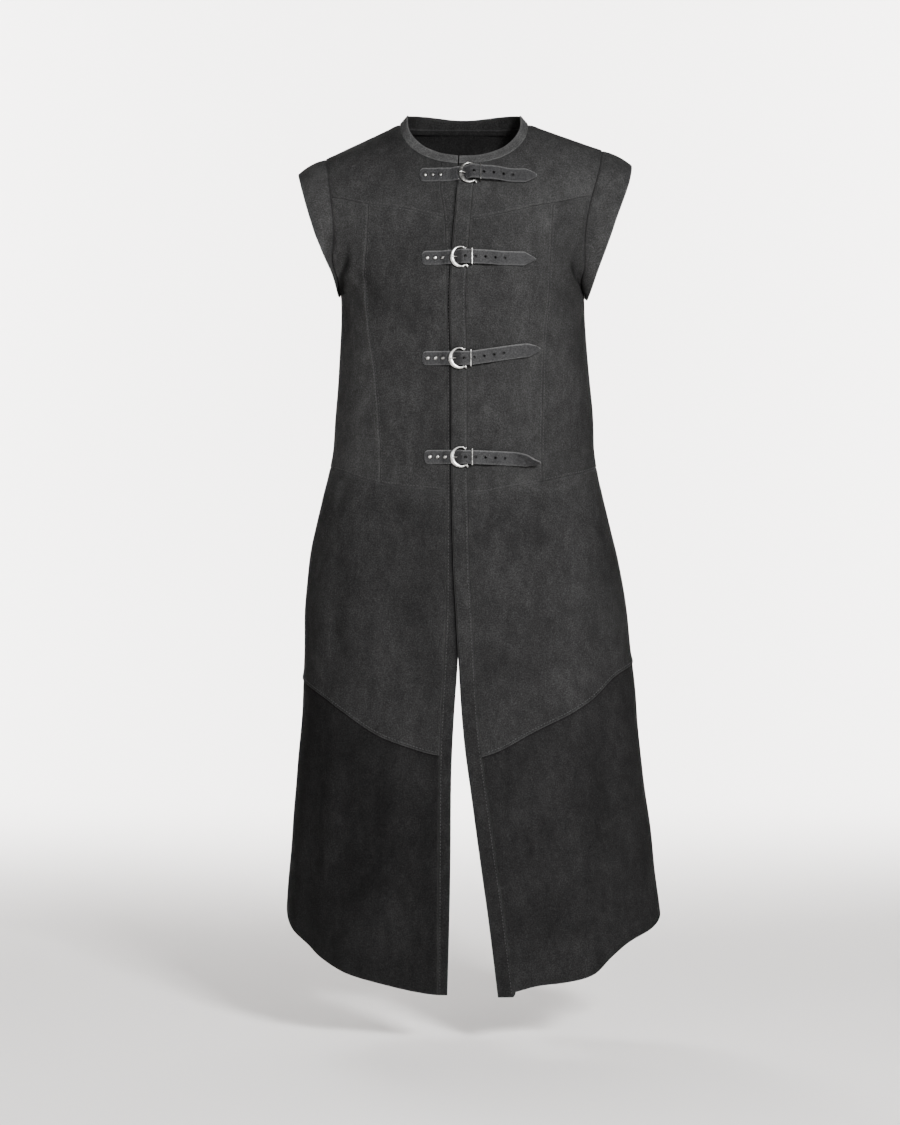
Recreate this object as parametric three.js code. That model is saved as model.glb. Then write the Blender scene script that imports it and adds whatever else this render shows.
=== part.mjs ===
import * as THREE from "three";

// Long suede vest, worn form, in millimetres. +Z is up and the front faces -Y.
// The origin lies on the centre line, level with the side neck points.
// "right" and "left" are the wearer's own sides: right is -X, left is +X.

// Cloth and seams.
const clothWall = 2;
const bandWall = 3;
const seamGap = 0.3;
const bandRise = (bandWall - clothWall) / 2;
const overlapLift = 3.8;

// Shape of each level of the form: a rounded box, half a level per face.
const roundness = 2.2;
const neckHalfWidth = 88;
const neckDrop = 62;
const neckRoundness = 2.15;
const shoulderDrop = { right: 48.5, left: 36.5 };
const underarmDrop = { right: 233, left: 236 };
const armholeDepth = { front: 68, back: 75 };
const sleeveDepth = { front: 78, back: 80 };
const sleeveBulge = 2.5;
const collarRise = { front: 11.4, side: 9, back: 12.5 };
const collarLean = { front: 7.6, side: 10, back: 6 };
const bandWidth = 21.5;
const overBandDrop = 6;
const slitTop = -650;

// Half widths of the form below the arms.
const widthRows = [
  { z: -233, right: 168, left: 164.5 },
  { z: -280, right: 168, left: 166 },
  { z: -355, right: 173, left: 173 },
  { z: -400, right: 176, left: 176.5 },
  { z: -445, right: 179, left: 178 },
  { z: -475, right: 184, left: 182 },
  { z: -510, right: 193, left: 190 },
  { z: -550, right: 203, left: 200 },
  { z: -595, right: 211.5, left: 211 },
  { z: -660, right: 217, left: 221.5 },
  { z: -720, right: 218.5, left: 228 },
  { z: -780, right: 220.5, left: 235 },
  { z: -827, right: 223, left: 238.5 },
  { z: -896, right: 229, left: 245 },
  { z: -956, right: 234, left: 254 },
  { z: -1013, right: 238.5, left: 260 },
  { z: -1065, right: 242, left: 267 },
  { z: -1200, right: 250, left: 280 },
];

// How far the form stands before and behind its side seams.
const depthRows = [
  { z: 0, front: 30, back: 58 },
  { z: -20, front: 50, back: 68 },
  { z: -45, front: 68, back: 78 },
  { z: -62, front: 78, back: 84 },
  { z: -95, front: 92, back: 91 },
  { z: -130, front: 105, back: 97 },
  { z: -180, front: 116, back: 101 },
  { z: -235, front: 121, back: 100 },
  { z: -330, front: 117, back: 92 },
  { z: -400, front: 112, back: 85 },
  { z: -490, front: 108, back: 82 },
  { z: -550, front: 113, back: 96 },
  { z: -620, front: 119, back: 110 },
  { z: -800, front: 130, back: 122 },
  { z: -1000, front: 141, back: 131 },
  { z: -1200, front: 151, back: 141 },
];

// Armhole seam and sleeve opening, by turn from the shoulder point (0) to the underarm (180).
const armholeRows = [
  { turn: 0, right: 189, left: 188.4 },
  { turn: 45, right: 184, left: 183 },
  { turn: 90, right: 176.8, left: 165 },
  { turn: 135, right: 175.5, left: 160.5 },
  { turn: 180, right: 168, left: 164.5 },
];
const openingRows = [
  { turn: 0, right: 227, left: 229.4 },
  { turn: 45, right: 220.5, left: 224 },
  { turn: 90, right: 203.5, left: 201.5 },
  { turn: 135, right: 179, left: 178.5 },
  { turn: 180, right: 173, left: 169.5 },
];
const openingTop = { right: -68.5, left: -56 };
const openingBottom = { right: -241, left: -244 };

// Heights of the cross seams and the hem, from the front edge (0) to the side seam (1).
const frontSeamRows = [
  { u: 0, yokeRight: -140, yokeLeft: -141, waistRight: -504, waistLeft: -508 },
  { u: 0.1, yokeRight: -134, yokeLeft: -134, waistRight: -502, waistLeft: -504 },
  { u: 0.2, yokeRight: -125, yokeLeft: -126, waistRight: -499, waistLeft: -498 },
  { u: 0.3, yokeRight: -120, yokeLeft: -118, waistRight: -496, waistLeft: -493 },
  { u: 0.4, yokeRight: -116, yokeLeft: -113, waistRight: -492, waistLeft: -489 },
  { u: 0.5, yokeRight: -109, yokeLeft: -106, waistRight: -486.5, waistLeft: -483.5 },
  { u: 0.65, yokeRight: -104, yokeLeft: -102, waistRight: -478, waistLeft: -479 },
  { u: 0.8, yokeRight: -100, yokeLeft: -98, waistRight: -473, waistLeft: -474 },
  { u: 1, yokeRight: -96, yokeLeft: -94, waistRight: -469, waistLeft: -469 },
];
const skirtSeamRows = [
  { u: 0, flapRight: -853, flapLeft: -859, hemRight: -1174, hemLeft: -1183 },
  { u: 0.1, flapRight: -850, flapLeft: -846, hemRight: -1172, hemLeft: -1173 },
  { u: 0.2, flapRight: -840, flapLeft: -826, hemRight: -1166, hemLeft: -1163 },
  { u: 0.3, flapRight: -828, flapLeft: -808.5, hemRight: -1157, hemLeft: -1158 },
  { u: 0.4, flapRight: -811, flapLeft: -793.5, hemRight: -1147, hemLeft: -1147 },
  { u: 0.5, flapRight: -795, flapLeft: -778, hemRight: -1135.5, hemLeft: -1127 },
  { u: 0.65, flapRight: -775.5, flapLeft: -750, hemRight: -1117, hemLeft: -1106 },
  { u: 0.8, flapRight: -762, flapLeft: -738, hemRight: -1097, hemLeft: -1092 },
  { u: 1, flapRight: -752, flapLeft: -730, hemRight: -1070, hemLeft: -1076 },
];
const backDrop = { waist: 11, flap: 70, hem: 42 };

// Front edges: the seam and free edge of the under band, and the free edge of the over band.
const edgeRows = [
  { z: -55, underSeam: -31, underEdge: -9, overEdge: -6.4 },
  { z: -100, underSeam: -31.7, underEdge: -9.5, overEdge: -10.1 },
  { z: -135, underSeam: -26.6, underEdge: -4.8, overEdge: -13.2 },
  { z: -185, underSeam: -24.5, underEdge: -3, overEdge: -17.3 },
  { z: -250, underSeam: -23.5, underEdge: -2.5, overEdge: -20.5 },
  { z: -316, underSeam: -23.5, underEdge: -2.5, overEdge: -18.5 },
  { z: -450, underSeam: -23.5, underEdge: -3, overEdge: -17.9 },
  { z: -600, underSeam: -23.5, underEdge: -4, overEdge: -15.2 },
  { z: -660, underSeam: -24.2, underEdge: -6, overEdge: -12.1 },
  { z: -735, underSeam: -27, underEdge: -8.8, overEdge: -8.1 },
  { z: -795, underSeam: -30.5, underEdge: -13, overEdge: -4.6 },
  { z: -850, underSeam: -33, underEdge: -16.1, overEdge: 0.5 },
  { z: -900, underSeam: -34, underEdge: -17.5, overEdge: 7.4 },
  { z: -990, underSeam: -34.5, underEdge: -18.3, overEdge: 19.6 },
  { z: -1080, underSeam: -35, underEdge: -20, overEdge: 32.3 },
  { z: -1200, underSeam: -35, underEdge: -23.6, overEdge: 47.2 },
];
const princessRows = [
  { z: -110, right: -128.4, left: 120 },
  { z: -165, right: -131, left: 117 },
  { z: -210, right: -134.5, left: 115 },
  { z: -245, right: -132.6, left: 113 },
  { z: -290, right: -128, left: 108 },
  { z: -350, right: -120, left: 105.5 },
  { z: -440, right: -113.6, left: 104 },
  { z: -510, right: -113.6, left: 105.5 },
];
const slitRows = [
  { z: -650, right: 0, left: 0 },
  { z: -720, right: -14, left: 8 },
  { z: -800, right: -22, left: 10 },
  { z: -900, right: -26, left: 18 },
  { z: -1000, right: -28, left: 32 },
  { z: -1120, right: -30, left: 51 },
];

// Soft ridges and troughs of the skirt. The turn runs 0 front edge, 1 side seam, 2 centre back.
const foldRows = [
  { side: -1, top: 0.2, hem: 0.2, width: 0.09, start: -640, rise: -4 },
  { side: -1, top: 0.36, hem: 0.4, width: 0.1, start: -560, rise: 6 },
  { side: -1, top: 0.62, hem: 0.68, width: 0.09, start: -620, rise: -6 },
  { side: 1, top: 0.22, hem: 0.24, width: 0.08, start: -700, rise: -5 },
  { side: 1, top: 0.34, hem: 0.37, width: 0.08, start: -600, rise: 8 },
  { side: 1, top: 0.56, hem: 0.62, width: 0.1, start: -640, rise: -7 },
  { side: -1, top: 1.3, hem: 1.34, width: 0.1, start: -560, rise: -7 },
  { side: -1, top: 1.5, hem: 1.56, width: 0.1, start: -600, rise: 8 },
  { side: -1, top: 1.72, hem: 1.78, width: 0.08, start: -620, rise: -5 },
  { side: 1, top: 1.28, hem: 1.3, width: 0.09, start: -600, rise: -6 },
  { side: 1, top: 1.46, hem: 1.5, width: 0.1, start: -560, rise: 8 },
  { side: 1, top: 1.68, hem: 1.74, width: 0.09, start: -640, rise: -6 },
];
const foldHem = -1170;

// The four strap closures. Places along a closure run from its own middle x. Each free end
// bends off level by its tilt and lifts at its tip.
const closureRows = [
  { name: "1", x: 11.7, z: -79, start: -71.7, tip: 85.3, tilt: -0.02, tipLift: 1.5 },
  { name: "2", x: 0, z: -193, start: -56.6, tip: 94, tilt: -0.01, tipLift: 2 },
  { name: "3", x: -1.6, z: -326.5, start: -54.4, tip: 102.1, tilt: 0.15, tipLift: 5 },
  { name: "4", x: 0.3, z: -458.2, start: -53.7, tip: 97.2, tilt: -0.045, tipLift: 7 },
];
const strapHalfWidth = 9.25;
const strapWall = 1.9;
const strapPointLength = 15;
const strapCorner = 6;
const strapHoles = { prongX: -7, first: 1.1, spacing: 13.1, count: 5, radius: 1.75, cell: 2.5 };
const buckle = {
  left: -19.5,
  halfHeight: 14.5,
  centreX: -5,
  innerCentreX: -4,
  innerLength: 9.5,
  innerHalfHeight: 11.4,
  innerSquareness: 2.8,
  barLeft: -0.1,
  barRight: 2.3,
  wall: 2.6,
  bevel: 0.6,
  bowHeight: 8.5,
  barHeight: 7.9,
};
const rivet = { radius: 3, rise: 1.7, first: 7.5, spacing: 10.3, count: 3 };
const rivetSides = 8;
const keeper = { x: 10, width: 1.7, wall: 1.5, clearance: 0.25 };
const chape = { wall: 1.5, halfWidth: 7.5, slotHalfWidth: 2, slotStart: 5, slotEnd: 11 };
const chapeUnderStops = [34, 28, 20, 13, 8, 5];
const chapeFoldAngles = [-75, -120, -165, 165, 120, 80];
const chapeOverRows = [
  { x: 9, above: 2.2 },
  { x: 15, above: 1.85 },
  { x: 22, above: 1.85 },
];
const prongWire = 0.75;
const prongEyeRadius = 2.55;
const prongEyeAngles = [-140, -95, -50, -5, 40, 85, 130, 160];
const prongRows = [
  { x: -2.6, h: 8.6, radius: 0.85 },
  { x: -7, h: 9.35, radius: 0.9 },
  { x: -12.5, h: 10.85, radius: 0.85 },
  { x: -17.2, h: 10.95, radius: 0.7 },
];
const prongHole = { cell: 2.9, along: 2.75 };

// The buckle's outer and inner lines from the end of its bow round one horn to its bar.
const hornRows = [
  { outX: 0.4, outW: 13.2, inX: -0.9, inW: 10.7 },
  { outX: 3.6, outW: 13.6, inX: -0.1, inW: 10 },
  { outX: 2.7, outW: 10.2, inX: -0.1, inW: 9.2 },
  { outX: 2.3, outW: 5, inX: -0.1, inW: 5 },
];
const bowStep = 15;
const bowEnd = 75;
const bowCusp = 1.2;

// Height of the strap's middle above the form, from its riveted end to its free end.
const strapRows = [
  { x: -60, h: 1.3 },
  { x: -36, h: 1.3 },
  { x: -30, h: 1.95 },
  { x: -25, h: 3.9 },
  { x: -20, h: 5.55 },
  { x: -13.5, h: 5.65 },
  { x: -11.5, h: 6 },
  { x: -7, h: 9.1 },
  { x: -3, h: 12.1 },
  { x: -1, h: 12.35 },
  { x: 4, h: 12.2 },
  { x: 10, h: 10.3 },
  { x: 17, h: 9.3 },
  { x: 24, h: 9 },
  { x: 35, h: 7 },
  { x: 46, h: 3.2 },
  { x: 58, h: 1.9 },
  { x: 110, h: 1.6 },
];

const suedeLook = new THREE.MeshStandardMaterial({ color: 0x17171a, roughness: 0.95, metalness: 0 });
const bandLook = new THREE.MeshStandardMaterial({ color: 0x1d1d20, roughness: 0.93, metalness: 0 });
const leatherLook = new THREE.MeshStandardMaterial({ color: 0x26272a, roughness: 0.6, metalness: 0 });
const metalLook = new THREE.MeshStandardMaterial({ color: 0x8f8c86, roughness: 0.38, metalness: 1 });

const vest = new THREE.Group();
vest.name = "vest";

// Smooth reading of a table whose key column falls or rises steadily.
function readTable(rows, key, at, column) {
  const last = rows.length - 1;
  const rising = rows[last][key] > rows[0][key];
  const reach = (a, b) => (rising ? a >= b : a <= b);
  if (!reach(at, rows[0][key])) {
    return rows[0][column];
  }
  if (reach(at, rows[last][key])) {
    return rows[last][column];
  }
  let i = 0;
  while (reach(at, rows[i + 1][key])) {
    i += 1;
  }
  const slope = (k) => {
    const before = rows[Math.max(0, k - 1)];
    const after = rows[Math.min(last, k + 1)];
    return (after[column] - before[column]) / (after[key] - before[key]);
  };
  const span = rows[i + 1][key] - rows[i][key];
  const s = (at - rows[i][key]) / span;
  const s2 = s * s;
  const s3 = s2 * s;
  const start = rows[i][column] * (2 * s3 - 3 * s2 + 1);
  const startSlope = slope(i) * span * (s3 - 2 * s2 + s);
  const end = rows[i + 1][column] * (3 * s2 - 2 * s3);
  const endSlope = slope(i + 1) * span * (s3 - s2);
  return start + startSlope + end + endSlope;
}

// A ring's table, carried past both its ends so that the ring closes smoothly.
function readRing(rows, turn, column) {
  const before = { ...rows[1], turn: -rows[1].turn };
  const beyond = { ...rows[rows.length - 2], turn: 360 - rows[rows.length - 2].turn };
  return readTable([before, ...rows, beyond], "turn", turn, column);
}

function easeStep(value) {
  const s = Math.min(1, Math.max(0, value));
  return s * s * (3 - 2 * s);
}

function mix(a, b, s) {
  return a + (b - a) * s;
}

function sideName(sign) {
  return sign < 0 ? "right" : "left";
}

// The armhole seam at a level: how far out and how far before or behind it stands.
function armholeAt(side, z, face) {
  const top = -shoulderDrop[side];
  const bottom = -underarmDrop[side];
  const middle = (top + bottom) / 2;
  const half = (top - bottom) / 2;
  const turn = Math.acos(Math.min(1, Math.max(-1, (z - middle) / half)));
  const x = readRing(armholeRows, turn * 180 / Math.PI, side);
  return { x, y: armholeDepth[face] * Math.sin(turn) };
}

function armholeLevel(side, turnDegrees) {
  const top = -shoulderDrop[side];
  const bottom = -underarmDrop[side];
  return (top + bottom) / 2 + (top - bottom) / 2 * Math.cos(turnDegrees * Math.PI / 180);
}

function armholeTurnAt(side, z) {
  const top = -shoulderDrop[side];
  const bottom = -underarmDrop[side];
  return Math.acos((z - (top + bottom) / 2) / ((top - bottom) / 2)) * 180 / Math.PI;
}

function armholeAngle(side, z, face) {
  const seam = armholeAt(side, z, face);
  const depth = readTable(depthRows, "z", z, face);
  return Math.acos(Math.pow(seam.y / depth, roundness / 2));
}

function halfWidth(side, z, face) {
  if (z > -shoulderDrop[side]) {
    const down = Math.max(0, -z) / shoulderDrop[side];
    return mix(neckHalfWidth, armholeRows[0][side], down);
  }
  if (z > -underarmDrop[side]) {
    const angle = armholeAngle(side, z, face);
    return armholeAt(side, z, face).x / Math.pow(Math.sin(angle), 2 / roundness);
  }
  return readTable(widthRows, "z", z, side);
}

function foldRise(turn, z) {
  let rise = 0;
  for (const fold of foldRows) {
    if (Math.sign(turn) !== fold.side) {
      continue;
    }
    const down = easeStep((fold.start - z) / (fold.start - foldHem));
    const along = Math.min(1, Math.max(0, (fold.start - z) / (fold.start - foldHem)));
    const off = (Math.abs(turn) - mix(fold.top, fold.hem, along)) / fold.width;
    rise += fold.rise * down * Math.exp(-off * off);
  }
  return rise;
}

// A point of the form. The turn runs 0 at the centre front, 1 at a side seam, 2 at the centre back.
function formPoint(turnIn, z) {
  let turn = turnIn;
  if (turn > 2) {
    turn -= 4;
  }
  if (turn < -2) {
    turn += 4;
  }
  const sign = turn < 0 ? -1 : 1;
  const angle = Math.abs(turn) * Math.PI / 2;
  const across = Math.sin(angle);
  const along = Math.cos(angle);
  const face = along >= 0 ? "front" : "back";
  const width = halfWidth(sideName(sign), z, face);
  const depth = readTable(depthRows, "z", z, face);
  const x = sign * width * Math.pow(Math.abs(across), 2 / roundness);
  const y = -Math.sign(along) * depth * Math.pow(Math.abs(along), 2 / roundness);
  const reach = Math.hypot(x, y);
  const grow = 1 + foldRise(turn, z) / Math.max(1, reach);
  return new THREE.Vector3(x * grow, y * grow, z);
}

function formNormal(turn, z) {
  const step = 0.004;
  const top = Math.min(z + 0.5, 0);
  const across = formPoint(turn + step, z).sub(formPoint(turn - step, z));
  const up = formPoint(turn, top).sub(formPoint(turn, top - 1));
  const normal = across.cross(up).normalize();
  return normal;
}

function turnAtX(x, z, face = "front") {
  const sign = x < 0 ? -1 : 1;
  const width = halfWidth(sideName(sign), z, face);
  const part = Math.min(1, Math.abs(x) / width);
  const turn = Math.asin(Math.pow(part, roundness / 2)) * 2 / Math.PI;
  return face === "front" ? sign * turn : sign * (2 - turn);
}

// The over front rides on the under front's band, then eases back onto the form.
function overLift(turn, z) {
  const x = formPoint(turn, z).x;
  const fromEdge = 1 - easeStep((x - 5) / 36);
  const fromNeck = easeStep((-57 - z) / 14);
  const fromHem = 1 - easeStep((-745 - z) / 85);
  return overlapLift * fromEdge * fromNeck * fromHem;
}

function raisedPoint(spot, height, lifted) {
  const lift = lifted ? overLift(spot.turn, spot.z) : 0;
  const normal = formNormal(spot.turn, spot.z);
  return formPoint(spot.turn, spot.z).addScaledVector(normal, height + lift);
}

// Fills the area between four runs of spots that share their corners. The top run's own
// shape dies away downwards the faster the higher topFade is.
function fillPatch(top, bottom, left, right, topFade) {
  const grid = [];
  const columns = top.length - 1;
  const rows = left.length - 1;
  for (let i = 0; i <= rows; i += 1) {
    const q = 1 - Math.pow(1 - i / rows, topFade);
    const line = [];
    for (let j = 0; j <= columns; j += 1) {
      const p = j / columns;
      const spot = {};
      for (const key of ["turn", "z"]) {
        const upDown = mix(top[j][key], bottom[j][key], q);
        const leftRight = mix(left[i][key], right[i][key], p);
        const topCorners = mix(top[0][key], top[columns][key], p);
        const bottomCorners = mix(bottom[0][key], bottom[columns][key], p);
        spot[key] = upDown + leftRight - mix(topCorners, bottomCorners, q);
      }
      line.push(spot);
    }
    grid.push(line);
  }
  return grid;
}

// Draws the four borders of a wall in by half a seam gap.
function drawIn(points) {
  const rows = points.length;
  const columns = points[0].length;
  const result = points.map((line) => line.map((point) => point.clone()));
  const inward = (i, j, toI, toJ) => {
    const here = points[i][j];
    const inside = points[i + toI][j + toJ].clone().sub(here);
    const before = points[toI === 0 ? Math.max(0, i - 1) : i][toJ === 0 ? Math.max(0, j - 1) : j];
    const afterI = toI === 0 ? Math.min(rows - 1, i + 1) : i;
    const afterJ = toJ === 0 ? Math.min(columns - 1, j + 1) : j;
    const along = points[afterI][afterJ].clone().sub(before).normalize();
    return inside.addScaledVector(along, -inside.dot(along)).normalize();
  };
  for (let i = 0; i < rows; i += 1) {
    for (let j = 0; j < columns; j += 1) {
      if (i === 0) {
        result[i][j].addScaledVector(inward(i, j, 1, 0), seamGap / 2);
      }
      if (i === rows - 1) {
        result[i][j].addScaledVector(inward(i, j, -1, 0), seamGap / 2);
      }
      if (j === 0) {
        result[i][j].addScaledVector(inward(i, j, 0, 1), seamGap / 2);
      }
      if (j === columns - 1) {
        result[i][j].addScaledVector(inward(i, j, 0, -1), seamGap / 2);
      }
    }
  }
  return result;
}

function addMesh(name, vertices, faces, material) {
  let volume = 0;
  for (const [a, b, c] of faces) {
    volume += vertices[a].dot(vertices[b].clone().cross(vertices[c]));
  }
  const index = [];
  for (const [a, b, c] of faces) {
    if (volume > 0) {
      index.push(a, b, c);
    } else {
      index.push(a, c, b);
    }
  }
  const geometry = new THREE.BufferGeometry();
  const flat = vertices.flatMap((vertex) => [vertex.x, vertex.y, vertex.z]);
  geometry.setAttribute("position", new THREE.Float32BufferAttribute(flat, 3));
  geometry.setIndex(index);
  geometry.computeVertexNormals();
  const mesh = new THREE.Mesh(geometry, material);
  mesh.name = name;
  vest.add(mesh);
}

// Closes an outer and an inner grid into one wall. A ring joins its last column to its first.
function addWall(name, outer, inner, material, ring = false) {
  const rows = outer.length;
  const columns = outer[0].length;
  const vertices = [...outer.flat(), ...inner.flat()];
  const half = rows * columns;
  const faces = [];
  const quad = (a, b, c, d) => {
    faces.push([a, b, c], [a, c, d]);
  };
  const at = (i, j) => i * columns + (j % columns);
  const lastColumn = ring ? columns : columns - 1;
  for (let i = 0; i + 1 < rows; i += 1) {
    for (let j = 0; j < lastColumn; j += 1) {
      quad(at(i, j), at(i + 1, j), at(i + 1, j + 1), at(i, j + 1));
      quad(half + at(i, j), half + at(i, j + 1), half + at(i + 1, j + 1), half + at(i + 1, j));
    }
  }
  for (let j = 0; j < lastColumn; j += 1) {
    quad(at(0, j), at(0, j + 1), half + at(0, j + 1), half + at(0, j));
    const low = rows - 1;
    quad(at(low, j), half + at(low, j), half + at(low, j + 1), at(low, j + 1));
  }
  if (!ring) {
    const end = columns - 1;
    for (let i = 0; i + 1 < rows; i += 1) {
      quad(at(i, 0), half + at(i, 0), half + at(i + 1, 0), at(i + 1, 0));
      quad(at(i, end), at(i + 1, end), half + at(i + 1, end), half + at(i, end));
    }
  }
  addMesh(name, vertices, faces, material);
}

function addPanel(name, runs, lifted, material = suedeLook, outHeight = 0, wall = clothWall) {
  const grid = fillPatch(runs.top, runs.bottom, runs.left, runs.right, runs.topFade ?? 1);
  const outer = grid.map((line) => line.map((spot) => raisedPoint(spot, outHeight, lifted)));
  const inner = grid.map((line) => line.map((spot) => raisedPoint(spot, outHeight - wall, lifted)));
  addWall(name, drawIn(outer), drawIn(inner), material);
}

// Runs of spots along the seams.
function neckRun(sign, endX, count) {
  const endAngle = Math.asin(Math.pow(Math.abs(endX) / neckHalfWidth, neckRoundness / 2));
  const run = [];
  for (let i = 0; i <= count; i += 1) {
    const angle = mix(Math.PI / 2, endAngle, i / count);
    const x = neckHalfWidth * Math.pow(Math.sin(angle), 2 / neckRoundness);
    const z = -neckDrop * Math.pow(Math.abs(Math.cos(angle)), 2 / neckRoundness);
    run.push(i === 0 ? { turn: sign, z: 0 } : { turn: turnAtX(sign * x, z), z });
  }
  return run;
}

function neckLevelAt(x) {
  const angle = Math.asin(Math.pow(Math.abs(x) / neckHalfWidth, neckRoundness / 2));
  return -neckDrop * Math.pow(Math.cos(angle), 2 / neckRoundness);
}

function shoulderRun(side, sign, count) {
  const run = [];
  for (let i = 0; i <= count; i += 1) {
    run.push({ turn: sign, z: -shoulderDrop[side] * i / count });
  }
  return run;
}

function armholeRun(side, sign, face, fromTurn, toTurn, count) {
  const run = [];
  for (let i = 0; i <= count; i += 1) {
    const around = mix(fromTurn, toTurn, i / count);
    const z = armholeLevel(side, around);
    const angle = armholeAngle(side, z, face) * 2 / Math.PI;
    const turn = face === "front" ? sign * angle : sign * (2 - angle);
    run.push({ turn, z });
  }
  return run;
}

function edgeX(sign, z, part) {
  if (sign < 0) {
    return readTable(edgeRows, "z", z, part === "seam" ? "underSeam" : "underEdge");
  }
  const edge = readTable(edgeRows, "z", z, "overEdge");
  return part === "seam" ? edge + bandWidth : edge;
}

function edgeRun(sign, part, fromZ, toZ, count) {
  const run = [];
  for (let i = 0; i <= count; i += 1) {
    const z = mix(fromZ, toZ, i / count);
    run.push({ turn: turnAtX(edgeX(sign, z, part), z), z });
  }
  return run;
}

function crossRun(rows, column, fromTurn, toTurn, count) {
  const run = [];
  for (let i = 0; i <= count; i += 1) {
    const turn = mix(fromTurn, toTurn, i / count);
    run.push({ turn, z: readTable(rows, "u", Math.abs(turn), column) });
  }
  return run;
}

// Where a seam that runs down meets a seam that runs across.
function meet(xAt, rows, column, guess) {
  let z = guess;
  for (let i = 0; i < 30; i += 1) {
    z = mix(z, readTable(rows, "u", Math.abs(turnAtX(xAt(z), z)), column), 0.7);
  }
  return { turn: turnAtX(xAt(z), z), z };
}

function joinRuns(...runs) {
  return runs.reduce((all, run) => [...all, ...run.slice(all.length === 0 ? 0 : 1)], []);
}

const columnsEach = 6;
const yokeNeckRows = 6;
const yokeBandRows = 2;
const bodiceArmRows = 6;
const bodiceSideRows = 4;
const upperRows = 8;
const lowerRows = 10;
const backArmRows = 12;
const backShoulderColumns = 3;
const backNeckColumns = 14;
const sleeveBands = 3;

const sides = [
  { name: "right", sign: -1, key: "Right", lifted: false },
  { name: "left", sign: 1, key: "Left", lifted: true },
];
const neckFront = {};
const bandTops = {};

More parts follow.
